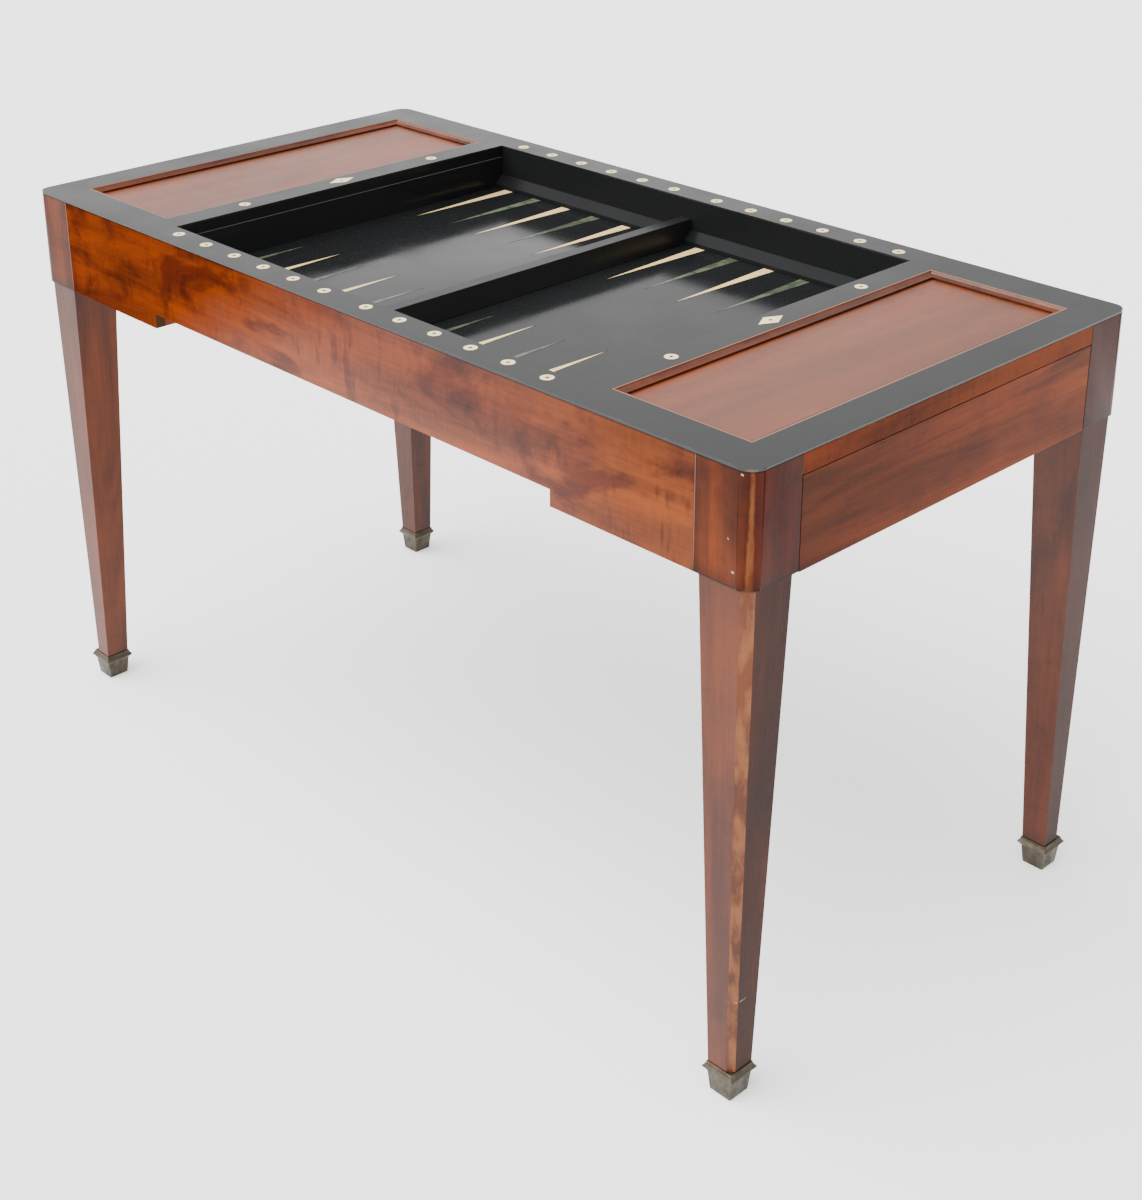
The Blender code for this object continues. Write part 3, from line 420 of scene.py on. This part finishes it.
def leg_material(place, end, seed):
    """A post and its leg: duller on the post, glossier on the leg, with painted shade on the end's outer
    face, and worn in a mottled strip down the outer corner, which is narrow and ragged on the post.  The
    post's front has a painted highlight down its middle, and painted shade next to the apron and towards the
    outer corner.  There is also painted shade on the post's rounded corner, low on the post, and on the leg
    under the post."""
    look = finish_of()
    light = LEG_LIGHT[f"{place}_{end}"]
    shade, colour, roughness = mahogany(
        f"leg {place} {end}", "z", seed, light=light, gleam=0.09, blotch=0.3, ripple=0.1,
        warmth=0.4, worn=0.0)
    across = shade.parts(shade.node("NewGeometry", output="Normal"))[0]
    outward = across * shade.node("Math", {"operation": "SIGN"}, {0: shade.x})
    shaded_outer_face = shade.step(outward, 0.72, 0.95)
    post = shade.step(shade.z, POST_FOOT - 0.004, POST_FOOT + 0.004)
    colour = shade.tint(post, colour, (1.1, 1.1, 0.9))
    # Painted shade: the end's outer faces are darker, and browner on the post.
    colour = shade.tint(shaded_outer_face * (1.0 - post), colour, (0.50, 0.52, 0.80))
    colour = shade.tint(shaded_outer_face * post, colour, (0.62, 0.36, 0.24))
    front = post * (1.0 - shaded_outer_face)
    # Painted shade: the post's front is darker next to its seam with the apron.
    shade_by_apron = shade.step(abs(shade.x), POST_INNER + 0.012, POST_INNER + 0.002)
    # Painted highlight: a lighter, orange upright strip down the middle of the post's front.
    glow = shade.step(abs(abs(shade.x) - POST_HIGHLIGHT), 0.009, 0.002)
    colour = shade.tint(front * shade_by_apron * 0.4, colour, (0.40, 0.34, 0.40))
    colour = shade.tint(front * glow * 0.6, colour, (1.45, 1.30, 0.70))
    # Painted shade: the post's front is darker towards its rounded outer corner.
    toward = shade.step(abs(shade.x), HALF_LENGTH - 0.024, HALF_LENGTH - 0.009)
    colour = shade.tint(front * toward * 0.6, colour, (0.66, 0.58, 0.75))
    # Painted shade: the top of the leg is darker under the post.
    under = shade.step(shade.z, POST_FOOT - 0.09, POST_FOOT - 0.005) * (1.0 - post)
    colour = shade.tint(under * 0.45, colour, (0.60, 0.60, 0.66))
    if place == "back" and end == "right":
        colour = shade.tint(post, colour, (0.62, 0.70, 0.90))
    seam = shade.step(abs(shade.x), POST_INNER + 0.0014, POST_INNER + 0.0005)
    colour = shade.mix(front * seam * 0.5, colour, (0.33, 0.17, 0.13))
    # Painted shade: a darker purple strip low on the post, just above the leg.
    foot_shade = shade.step(shade.z, POST_FOOT + 0.022, POST_FOOT) * post
    colour = shade.tint(foot_shade * 0.6, colour, (0.34, 0.26, 0.42))
    joint = shade.step(abs(shade.z - (POST_FOOT + 0.0012)), 0.0018, 0.0006)
    colour = shade.tint(joint * 0.85, colour, (0.30, 0.18, 0.34))
    mottle = shade.step(shade.noise((60.0, 60.0, 22.0), seed + 12, 4.0, 0.6), 0.40, 0.62)
    corner = (abs(shade.y) - HALF_WIDTH) - (abs(shade.x) - HALF_LENGTH)
    low = shade.step(shade.z, TOP - 0.02, POST_FOOT + 0.02)
    ragged = (shade.noise((300.0, 300.0, 90.0), seed + 13, 3.0) - 0.5) * 0.005
    strip = shade.step(abs(corner + 0.001) - low * 0.0022 + ragged, 0.0045, 0.0005)
    edge = shade.edge()
    # Painted shade: the post's rounded corner is darker outside the worn strip, which dims its highlight.
    colour = shade.tint(edge * post * (1.0 - strip) * 0.6, colour, (0.45, 0.38, 0.42))
    worn = strip * post * (mottle * 0.34 + 0.08) + (1.0 - post) * (mottle * 0.5 + 0.12)
    colour = shade.mix(worn * edge, colour, look.mahogany_worn)
    if place == "front" and end == "right":
        colour = shade.mix(knocks(shade, corner) * 0.75, colour, (0.50, 0.44, 0.38))
    coat = (1.0 - shaded_outer_face) * (1.0 - post) * 0.34
    return shade.paint(base_color=rim_shadow(shade, colour), roughness=roughness, coat_weight=coat)


def knocks(shade, corner):
    """Small chips in the post's polish, and a broken scratch round the foot of the leg."""
    ragged = shade.noise((900.0, 900.0, 900.0), 3.0, 2.0)
    marks = shade.step(abs(shade.z - SCRATCH_LEVEL), 0.0012, 0.0005) * shade.step(ragged, 0.50, 0.58)
    broken = shade.step(shade.noise((95.0, 95.0, 95.0), 6.0, 1.0), 0.46, 0.54)
    marks = marks * shade.step(abs(corner), 0.022, 0.016) * broken
    for place, size in CHIPS:
        gap = shade.node("VectorMath", {"operation": "DISTANCE"}, {0: shade.place, 1: place}, "Value")
        marks = marks.greater(shade.step(gap + (ragged - 0.5) * 0.007, size, size * 0.5))
    return marks


def drawer_material(end, seed):
    """A drawer front: darker towards the front post."""
    shade, colour, roughness = mahogany(
        f"drawer front {end}", "y", seed, light=0.74, gleam=0.05, blotch=0.2, ripple=0.05)
    shadow = shade.step(shade.y, 0.0, -0.27)
    colour = shade.tint(shadow, colour, (0.55, 0.6, 0.6))
    return shade.paint(base_color=colour, roughness=roughness)


def panel_material(end, seed):
    """An end panel: quiet, clouded brown under a full polish."""
    shade, colour, roughness = mahogany(
        f"panel {end}", "y", seed, light=1.0, gleam=0.9, blotch=0.2, ripple=0.04, warmth=0.2)
    colour = shade.mix(0.45, colour, (0.180, 0.050, 0.010))
    colour = shade.tint(1.0, colour, (0.98, 0.82, 0.60))
    return shade.paint(base_color=colour, roughness=roughness)


def cove_material():
    """The mouldings round the panels: dark red-brown, with a lighter line along their top edge that is partly
    wear and partly a painted highlight.
    """
    shade, colour, roughness = mahogany(
        "cove wood", "y", 23.0, light=0.62, gleam=0.45, warmth=0.3, worn=0.2)
    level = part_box("cove_right_inner")[1].z
    # Painted highlight, with some wear: a lighter line along the moulding's top edge.
    rubbed = shade.step(shade.z, level - 0.0009, level - 0.0002)
    colour = shade.mix(rubbed * 0.75, colour, (0.33, 0.15, 0.10))
    return shade.paint(base_color=colour, roughness=roughness)


def ebonised(name, roughness, seed=0.0, dusty=0.25, relief=0.00008, gleam=0.5):
    """Black stained wood under polish, with faint grain, smears and dust."""
    look = finish_of()
    shade = Shade(name, {"Specular IOR Level": gleam})
    grain = shade.noise((30.0, 30.0, 500.0), seed, 2.0)
    smear = shade.noise((12.0, 12.0, 12.0), seed + 1, 4.0, 0.6)
    dust = shade.step(shade.noise((700.0, 700.0, 700.0), seed + 2, 1.0), 0.66, 0.78)
    colour = shade.mix(dust * dusty, look.ebony, (0.09, 0.085, 0.08))
    gloss = roughness + (smear - 0.5) * 0.22 + dust * dusty
    shade.relief(grain * 0.3 + smear * 0.7, relief)
    return shade, colour, gloss


def disc_gap(shade):
    """Distance from the middle of the nearest peg hole, along the rows and on the cross rims."""
    x, y = abs(shade.x), abs(shade.y)
    cell = shade.node("Math", {"operation": "FRACT"}, {0: (x - DIVIDER_HALF) / PITCH})
    across, along = (cell - 0.5) * PITCH, y - PEG_ROW
    row = shade.node("Math", {"operation": "SQRT"}, {0: across * across + along * along})
    row = row + (x > WELL_END) * 1.0
    side, ahead = x - CROSS_MIDDLE, (y - END_DISC)
    cross = shade.node("Math", {"operation": "SQRT"}, {0: side * side + ahead * ahead})
    middle = shade.node("Math", {"operation": "SQRT"}, {0: side * side + y * y})
    lozenge = abs(side) / LOZENGE[0] + y / LOZENGE[1]
    return row.lesser(cross), middle, lozenge


def rim_material():
    """Black rim with its inlays: a bone disc or lozenge round each peg hole, stained at the hole."""
    look = finish_of()
    shade, colour, gloss = ebonised("ebonised rim", 0.30, 1.0, dusty=0.0, relief=0.00002, gleam=0.42)
    worn = shade.edge() * shade.step(shade.noise((40.0, 40.0, 40.0), 9.0, 4.0), 0.42, 0.62)
    colour = shade.mix(worn * 0.55, colour, (0.16, 0.085, 0.06))
    disc, middle, lozenge = disc_gap(shade)
    top = shade.z > TOP - 0.0016
    is_disc = shade.step(disc, DISC_RADIUS + 0.0001, DISC_RADIUS - 0.0001)
    is_lozenge = shade.step(lozenge, 1.01, 0.99)
    bone = (is_disc + is_lozenge) * top
    bone_colour = shade.tint(1.0, bone_paint(shade, 3.0), (1.10, 1.20, 1.20))
    ring = shade.step(abs(disc - DISC_RADIUS * 0.96), 0.0005, 0.0001)
    ring = ring + shade.step(abs(lozenge - 0.97), 0.03, 0.01) * (lozenge < 1.1)
    hole = disc.lesser(middle)
    stain = shade.step(hole, HOLE_RADIUS * 2.4, HOLE_RADIUS)
    bone_colour = shade.tint(ring.lesser(1.0) * 0.6, bone_colour, (0.40, 0.30, 0.20))
    bone_colour = shade.tint(stain * 0.85, bone_colour, (0.42, 0.22, 0.10))
    colour = shade.mix(bone, colour, bone_colour)
    # Painted shade: the upper walls of each peg hole are painted nearly black.
    dark = (hole < HOLE_RADIUS * 1.02) * top
    colour = shade.mix(dark, colour, (0.02, 0.012, 0.008))
    return shade.paint(base_color=colour, roughness=gloss * (1.0 - bone) + bone * 0.38 + dark * 0.5)


def bone_paint(shade, seed):
    """Old bone: cream with brown streaks."""
    look = finish_of()
    streak = shade.step(shade.noise((60.0, 420.0, 60.0), seed, 3.0), 0.42, 0.66)
    brown = tuple(part * by for part, by in zip(look.bone, (0.86, 0.70, 0.52)))
    return shade.mix(streak * 0.35, look.bone, brown)


def well_material():
    """Glossy black floor with its points let in: the triangles follow the source's setting out."""
    look = finish_of()
    shade, colour, gloss = ebonised("well floor", look.black_polish, 4.0)
    x, y = abs(shade.x), abs(shade.y)
    cell = (x - DIVIDER_HALF) / PITCH
    index = shade.node("Math", {"operation": "FLOOR"}, {0: cell})
    across = abs(cell - index - 0.5) * PITCH
    odd = shade.node("Math", {"operation": "MODULO"}, {0: index, 1: 2.0})
    turned = (shade.y * shade.x) > 0.0
    bone = abs(odd - turned)
    share = bone * (BONE_SHARE - GREEN_SHARE) + GREEN_SHARE
    tip = WELL_SIDE * (1.0 - 2.0 * share)
    depth = (y - tip) / (FILLET_SIDE - tip)
    inside = depth * (POINT_BASE / 2) - across
    point = shade.step(inside, 0.0, 0.0002) * (shade.z > FLOOR_TOP - 0.0012) * (x < WELL_END - 0.0003)
    point = point * (y < FILLET_SIDE)
    green = shade.mix(shade.step(shade.noise((50.0, 50.0, 50.0), 6.0, 4.0), 0.4, 0.6), look.green,
                      tuple(part * 1.9 for part in look.green))
    paint = shade.mix(bone, green, shade.tint(1.0, bone_paint(shade, 5.0), (1.0, 0.94, 0.76)))
    colour = shade.mix(point, colour, paint)
    return shade.paint(base_color=colour, roughness=gloss * (1.0 - point) + point * 0.16)


def wall_material(name, gleam):
    """Black wood without inlay."""
    shade, colour, gloss = ebonised(name, 0.30, 7.0, gleam=gleam)
    return shade.paint(base_color=colour, roughness=gloss)


def partition_material(end):
    """Black and glossy towards the well, with a thin pale line, and plain mahogany elsewhere."""
    shade, colour, roughness = mahogany(f"partition {end}", "y", 31.0)
    black = (abs(shade.x) < WELL_END + 0.0004) * (shade.z > FLOOR_TOP - 0.001)
    line = shade.step(abs(shade.z - PARTITION_LINE), 0.00055, 0.0002) * 0.5
    ink = shade.mix(line, finish_of().ebony, (0.32, 0.32, 0.31))
    colour = shade.mix(black, colour, ink)
    gloss = finish_of().black_polish
    return shade.paint(base_color=colour, roughness=roughness * (1.0 - black) + black * gloss)


def brass_material():
    """Old brass under a dull olive patina, brighter where it is rubbed."""
    look = finish_of()
    shade = Shade("old brass", {"Metallic": 0.75})
    cloud = shade.step(shade.noise((90.0, 90.0, 60.0), 1.0, 5.0, 0.65), 0.35, 0.65)
    speck = shade.step(shade.noise((900.0, 900.0, 900.0), 2.0, 2.0), 0.58, 0.7)
    colour = shade.mix(cloud, look.brass, tuple(part * 0.55 for part in look.brass))
    colour = shade.mix(shade.edge() * 0.4, colour, tuple(part * 1.6 for part in look.brass))
    colour = shade.tint(speck * 0.6, colour, (0.4, 0.42, 0.4))
    shade.relief(cloud * 0.5 + speck * 0.5, 0.00012)
    return shade.paint(base_color=colour, roughness=cloud * 0.14 + 0.42)


def inner_material(name, along, seed):
    """Bare planed wood gone brown with age: lines, pores and scuffs."""
    look = finish_of()
    shade = Shade(name, {})
    broad = shade.noise(grain_scale(along, 2.0, 20.0), seed, 4.0, 0.6, 0.5)
    lines = shade.noise(grain_scale(along, 5.0, 300.0), seed + 1, 3.0)
    dirt = shade.step(shade.noise((14.0, 14.0, 14.0), seed + 2, 5.0, 0.65), 0.45, 0.75)
    tone = shade.step(broad * 0.5 + lines * 0.5, 0.35, 0.65)
    colour = shade.mix(tone, tuple(part * 0.55 for part in look.inner), look.inner)
    colour = shade.tint(dirt * 0.55, colour, (0.55, 0.48, 0.42))
    shade.relief(lines, 0.00025)
    return shade.paint(base_color=colour, roughness=tone * 0.1 + 0.6)


# Pieces

def add_piece(name, mesh, material, body, slot, *nodes):
    """A finished piece at the origin that rides on a body and stands for CAD nodes."""
    piece = bpy.data.objects.new(name, mesh)
    bpy.context.scene.collection.objects.link(piece)
    mesh.materials.clear()
    mesh.materials.append(material)
    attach(piece, body)
    if nodes:
        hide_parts(*nodes)
    return piece


def is_long(edge):
    return edge.calc_length() > SHORTEST_ROUNDED


def softened(node, chosen):
    """A CAD solid copied and merged, its flat faces made whole and its chosen edges marked for rounding."""
    bm = bmesh.new()
    bm.from_mesh(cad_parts[node].data)
    bmesh.ops.remove_doubles(bm, verts=bm.verts[:], dist=MERGE_REACH)
    bmesh.ops.dissolve_limit(bm, angle_limit=FLAT_ANGLE, verts=bm.verts[:], edges=bm.edges[:])
    weight = bm.edges.layers.float.new("bevel_weight_edge")
    for edge in bm.edges:
        sharp = len(edge.link_faces) != 2 or edge.calc_face_angle(0.0) > SHARP_ANGLE
        edge.smooth = not sharp
        if sharp and len(edge.link_faces) == 2 and chosen(edge):
            edge[weight] = 1.0
    for face in bm.faces:
        face.smooth = True
    mesh = bpy.data.meshes.new(f"{node}_finished")
    bm.to_mesh(mesh)
    bm.free()
    return mesh


def add_softened(node, width, material, body, slot, chosen=is_long):
    """A finished copy of a CAD solid, its chosen edges rounded to this width."""
    piece = add_piece(f"{node}_finished", softened(node, chosen), material, body, slot, node)
    bevel = piece.modifiers.new("rounded edges", "BEVEL")
    bevel.limit_method = "WEIGHT"
    bevel.width = width
    bevel.segments = 3
    bevel.harden_normals = True
    return piece


def dress(node, material):
    """A new material for a CAD node whose shape stays."""
    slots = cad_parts[node].material_slots
    for slot in slots:
        slot.material = material
    if not slots:
        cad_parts[node].data.materials.append(material)


def grid_mesh(name, points, close_ends):
    """A mesh from an array of points (rows, columns, 3), joined round both ways or capped."""
    rows, columns = points.shape[:2]
    index = np.arange(rows * columns).reshape(rows, columns)
    low, high = (index[:-1], index[1:]) if close_ends else (index, np.roll(index, -1, axis=0))
    faces = np.stack([low, np.roll(low, -1, axis=1), np.roll(high, -1, axis=1), high], axis=-1)
    faces = faces.reshape(-1, 4).tolist()
    if close_ends:
        faces += [index[0, ::-1].tolist(), index[-1].tolist()]
    mesh = bpy.data.meshes.new(name)
    mesh.from_pydata(points.reshape(-1, 3).tolist(), [], faces)
    bm = bmesh.new()
    bm.from_mesh(mesh)
    bmesh.ops.recalc_face_normals(bm, faces=bm.faces[:])
    bm.to_mesh(mesh)
    bm.free()
    mesh.shade_smooth()
    mesh.set_sharp_from_angle(angle=SMOOTH_ANGLE)
    return mesh


def cove_section(width, low, high, quirk):
    """Points (inset, height): flat top, quarter hollow, rounded toe, and the quirk under it."""
    angles = np.linspace(0.0, math.pi / 2, 15)
    flat = 0.0016
    toe = 0.0012
    across = width - (width - flat) * np.cos(angles)
    height = high - (high - low - quirk - toe) * np.sin(angles)
    start = np.array([[0.0, low], [0.0, high]])
    hollow = np.stack([across, height], axis=1)
    tip = low + quirk
    wall = width - 0.0022
    nose = np.array([[width, tip + 0.0002], [width - 0.0003, tip], [wall, tip], [wall, low]])
    return np.concatenate([start, hollow, nose])


def cove_mesh(end):
    """The section carried round the panel opening, each corner a mitre: the opening's
    half sides less the inset give a corner's place."""
    box = [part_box(f"cove_{end}_{place}") for place in ("inner", "outer")]
    low_x = min(corner.x for pair in box for corner in pair)
    high_x = max(corner.x for pair in box for corner in pair)
    sides = [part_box(f"cove_{place}_{end}") for place, _ in SIDES]
    half_y = max(abs(corner.y) for pair in sides for corner in pair)
    low, high = box[0][0].z, box[0][1].z
    width = box[0][1].x - box[0][0].x
    section = cove_section(width, low, high, detail_of().quirk)
    middle, half_x = (low_x + high_x) / 2, (high_x - low_x) / 2
    corners = np.array([(1, 1), (-1, 1), (-1, -1), (1, -1)], float)
    inset = section[None, :, 0]
    x = middle + corners[:, 0, None] * (half_x - inset)
    y = corners[:, 1, None] * (half_y - inset)
    z = np.broadcast_to(section[None, :, 1], x.shape)
    return grid_mesh(f"cove_{end}", np.stack([x, y, z], axis=-1), False)


def cup_mesh(name, middle, foot_half, lip_half):
    """A square cup: its half width follows a profile up its height, and every level is a square
    whose corners are rounded, from the sign of cosine and sine pushed out to the sides."""
    top = SABOT_TOP
    profile = np.array([
        (foot_half - 0.0009, 0.0), (foot_half - 0.0002, 0.0003), (foot_half, 0.0011),
        (foot_half + 0.0021, 0.0225), (foot_half + 0.0024, 0.0236), (foot_half + 0.0036, 0.0255),
        (lip_half - 0.0008, 0.0282), (lip_half - 0.0001, 0.0288), (lip_half, 0.0292),
        (lip_half - 0.0003, 0.0297), (lip_half - 0.0022, 0.0322), (foot_half + 0.0034, 0.0340),
        (foot_half + 0.0032, 0.0354), (foot_half + 0.0026, top - 0.0001), (foot_half - 0.0030, top - 0.0001)])
    quarter = np.linspace(0.0, math.pi / 2, 6)
    radius = detail_of().cup_corner
    turns = np.concatenate([quarter + corner * math.pi / 2 for corner in range(4)])
    signs = np.repeat(np.array([(1, 1), (-1, 1), (-1, -1), (1, -1)], float), len(quarter), axis=0)
    half = profile[:, 0, None]
    x = middle[0] + signs[None, :, 0] * (half - radius) + radius * np.cos(turns)[None, :]
    y = middle[1] + signs[None, :, 1] * (half - radius) + radius * np.sin(turns)[None, :]
    z = np.broadcast_to(profile[:, 1, None], x.shape)
    return grid_mesh(name, np.stack([x, y, z], axis=-1), True)


def seams_of(node, others):
    """The upright planes (axis, level, sign) of a rim bar that another bar meets across the joint gap."""
    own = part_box(node)
    seams = []
    for other in others:
        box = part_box(other)
        for axis, across in ((0, 1), (1, 0)):
            shared = min(own[1][across], box[1][across]) - max(own[0][across], box[0][across])
            for side, sign in ((0, -1), (1, 1)):
                gap = abs(own[side][axis] - box[1 - side][axis])
                if other != node and shared > JOINT_GAP and gap < 1.5 * JOINT_GAP:
                    seams.append((axis, own[side][axis], sign))
    return seams


def lies_on(point, seam):
    return abs(point[seam[0]] - seam[1]) < SAME_PLACE


def close_seams(piece, seams):
    """Moves a rim bar's joint faces out so that nearly nothing is left of the joint gap."""
    for seam in seams:
        for vert in piece.data.vertices:
            if lies_on(vert.co, seam):
                vert.co[seam[0]] += seam[2] * SEAM_FILL


def on_outer_edge(node, seams):
    """Chooses the rim's own edges, and leaves the joints, inlays and peg holes alone."""
    low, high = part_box(node)

    def chosen(edge):
        ends = [vert.co for vert in edge.verts]
        if max(end.z for end in ends) > TOP - 0.0002:
            return False
        if any(all(lies_on(end, seam) for end in ends) for seam in seams):
            return False
        walls = [(axis, wall[axis]) for axis in (0, 1) for wall in (low, high)]
        near = [[abs(end[axis] - level) < EDGE_REACH for end in ends] for axis, level in walls]
        return is_long(edge) and any(all(pair) for pair in near)

    return chosen


class DressTable:
    """What the table's operators share."""

    bl_options = {"REGISTER"}


class MakeRim(DressTable, Operator):
    """Makes the ebonised rim with its bone discs, lozenges and peg holes"""

    bl_idname = "table.make_rim"
    bl_label = "Rim"

    def execute(self, context):
        material = rim_material()
        names = ["rim_front", "rim_back"]
        for end, _ in ENDS:
            names += [f"rim_cross_{end}", f"rim_end_{end}"]
            names += [f"rim_side_{place}_{end}" for place, _ in SIDES]
        width = detail_of().rim_arris
        for name in names:
            seams = seams_of(name, names)
            bar = add_softened(name, width, material, "carcase", "ebonised_wood", on_outer_edge(name, seams))
            close_seams(bar, seams)
            bar.modifiers["rounded edges"].harden_normals = False
            bar.modifiers.new("flat tops", "WEIGHTED_NORMAL").keep_sharp = True
        return {"FINISHED"}


class MakeWells(DressTable, Operator):
    """Makes the black wells with their points and divider"""

    bl_idname = "table.make_wells"
    bl_label = "Wells"

    def execute(self, context):
        floor, wall = well_material(), wall_material("well wall", 0.04)
        for end, _ in ENDS:
            dress(f"well_floor_{end}", floor)
            dress(f"partition_{end}", partition_material(end))
        for place, _ in SIDES:
            dress(f"well_lining_{place}", wall)
        divider = wall_material("well divider", 0.35)
        add_softened("well_divider", detail_of().rim_arris, divider, "carcase", "ebonised_wood")
        return {"FINISHED"}


class MakeCarcase(DressTable, Operator):
    """Makes the aprons and the corner posts with their legs"""

    bl_idname = "table.make_carcase"
    bl_label = "Carcase"

    def execute(self, context):
        arris = detail_of().arris
        for seed, (place, _) in enumerate(SIDES):
            apron = apron_material(place, 3.0 + seed * 11)
            add_softened(f"{place}_apron", arris, apron, "carcase", "mahogany")
            for turn, (end, _) in enumerate(ENDS):
                leg = leg_material(place, end, 5.0 + seed * 9 + turn * 4)
                piece = add_softened(f"leg_{place}_{end}", arris, leg, "carcase", "mahogany")
                piece.modifiers["rounded edges"].loop_slide = False
        return {"FINISHED"}


class MakeEnds(DressTable, Operator):
    """Makes the end panels, their coves and the rails round them"""

    bl_idname = "table.make_ends"
    bl_label = "Ends"

    def execute(self, context):
        rail_y = polished("rail wood", "y", 17.0, light=0.58, gleam=0.03)
        rail_x = polished("side rail wood", "x", 19.0)
        cove = cove_material()
        for seed, (end, _) in enumerate(ENDS):
            dress(f"end_panel_{end}", panel_material(end, 41.0 + seed * 6))
            nodes = [f"cove_{end}_inner", f"cove_{end}_outer"] + [f"cove_{place}_{end}" for place, _ in SIDES]
            add_piece(f"cove_{end}_moulding", cove_mesh(end), cove, "carcase", "mahogany", *nodes)
            dress(f"panel_rail_{end}", rail_y)
            for place, _ in SIDES:
                dress(f"panel_side_rail_{place}_{end}", rail_x)
            add_softened(f"end_top_rail_{end}", detail_of().arris, rail_y, "carcase", "mahogany")
        return {"FINISHED"}


class MakeDrawers(DressTable, Operator):
    """Makes the drawers and the runners that carry them"""

    bl_idname = "table.make_drawers"
    bl_label = "Drawers"

    def execute(self, context):
        inner_x = inner_material("inner wood long", "x", 2.0)
        inner_y = inner_material("inner wood cross", "y", 8.0)
        for seed, (end, _) in enumerate(ENDS):
            front = drawer_material(end, 51.0 + seed * 5)
            add_softened(f"drawer_{end}_front", detail_of().arris, front, f"drawer_{end}", "mahogany")
            dress(f"drawer_{end}_back", inner_y)
            dress(f"drawer_{end}_bottom", inner_y)
            for place, _ in SIDES:
                dress(f"drawer_side_{place}_{end}", inner_x)
                dress(f"drawer_runner_{place}_{end}", inner_x)
        return {"FINISHED"}


class MakeCups(DressTable, Operator):
    """Makes the brass foot cups"""

    bl_idname = "table.make_cups"
    bl_label = "Foot cups"

    def execute(self, context):
        material = brass_material()
        for end, _ in ENDS:
            for place, _ in SIDES:
                node = f"sabot_{place}_{end}"
                low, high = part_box(node)
                middle = (low + high) / 2
                mesh = cup_mesh(f"{node}_cup", middle, CUP_FOOT_HALF, (high.x - low.x) / 2)
                add_piece(f"{node}_cup", mesh, material, "carcase", "patinated_brass", node)
        return {"FINISHED"}


class MakeStage(Operator):
    """Makes the pale floor, the soft light and the camera"""

    bl_idname = "table.make_stage"
    bl_label = "Stage"

    def execute(self, context):
        setting = context.scene.table_stage
        corners = np.array([(-1, -1, 0), (1, -1, 0), (1, 1, 0), (-1, 1, 0)], float) * FLOOR_REACH
        mesh = bpy.data.meshes.new("floor")
        mesh.from_pydata(corners.tolist(), [], [(0, 1, 2, 3)])
        floor = bpy.data.objects.new("floor", mesh)
        context.scene.collection.objects.link(floor)
        shade = Shade("pale floor", {"Roughness": 0.7, "Specular IOR Level": 0.2, "Emission Strength": 0.7})
        haze = shade.noise((0.8, 0.8, 0.8), 0.0, 2.0)
        tone = tuple(setting.floor)
        dim = tuple(part * 0.98 for part in tone)
        mesh.materials.append(shade.paint(base_color=shade.mix(haze, dim, tone)))
        world = bpy.data.worlds.new("studio")
        world.use_nodes = True
        world.node_tree.nodes["Background"].inputs["Color"].default_value = (1.0, 1.0, 1.0, 1.0)
        world.node_tree.nodes["Background"].inputs["Strength"].default_value = setting.sky
        context.scene.world = world
        light = bpy.data.lights.new("key light", "SUN")
        light.energy = setting.key
        light.angle = setting.spread
        lamp = bpy.data.objects.new("key light", light)
        lamp.rotation_euler = (math.radians(36), 0.0, math.radians(-28))
        context.scene.collection.objects.link(lamp)
        self.add_panel(context, "back panel", (-4.6, 3.4, 1.8), (4.4, 1.5), setting.back)
        camera = bpy.data.objects.new("camera", bpy.data.cameras.new("camera"))
        camera.location = setting.place
        camera.rotation_euler = setting.turn
        camera.data.lens = setting.lens
        camera.data.shift_y = setting.shift
        context.scene.collection.objects.link(camera)
        context.scene.camera = camera
        return {"FINISHED"}

    def add_panel(self, context, name, place, size, glow):
        """A soft panel that faces the table and shines with this radiance."""
        light = bpy.data.lights.new(name, "AREA")
        light.shape = "RECTANGLE"
        light.size, light.size_y = size
        light.energy = glow * math.pi * size[0] * size[1]
        lamp = bpy.data.objects.new(name, light)
        lamp.location = place
        away = lamp.location - type(lamp.location)((0.0, 0.0, TOP))
        lamp.rotation_euler = away.to_track_quat("Z", "Y").to_euler()
        context.scene.collection.objects.link(lamp)


class TablePanel(Panel):
    """Lists the table's operators and their settings"""

    bl_idname = "VIEW3D_PT_tric_trac_table"
    bl_label = "Tric Trac Table"
    bl_space_type = "VIEW_3D"
    bl_region_type = "UI"
    bl_category = "Table"

    def draw(self, context):
        for maker in MAKERS:
            self.layout.operator(maker.bl_idname)
        for group in (context.scene.table_finish, context.scene.table_detail, context.scene.table_stage):
            for name in group.bl_rna.properties.keys()[2:]:
                self.layout.prop(group, name)


GROUPS = {"table_finish": TableFinish, "table_detail": TableDetail, "table_stage": StageSetting}
MAKERS = (MakeStage, MakeRim, MakeWells, MakeCarcase, MakeEnds, MakeDrawers, MakeCups)


def register():
    for item in (*GROUPS.values(), *MAKERS, TablePanel):
        bpy.utils.register_class(item)
    for name, group in GROUPS.items():
        setattr(bpy.types.Scene, name, PointerProperty(type=group))


def unregister():
    for name in GROUPS:
        delattr(bpy.types.Scene, name)
    for item in (TablePanel, *MAKERS[::-1], *GROUPS.values()):
        bpy.utils.unregister_class(item)


def main():
    register()
    for maker in MAKERS:
        group, name = maker.bl_idname.split(".")
        getattr(getattr(bpy.ops, group), name)()


if __name__ == "__main__":
    main()
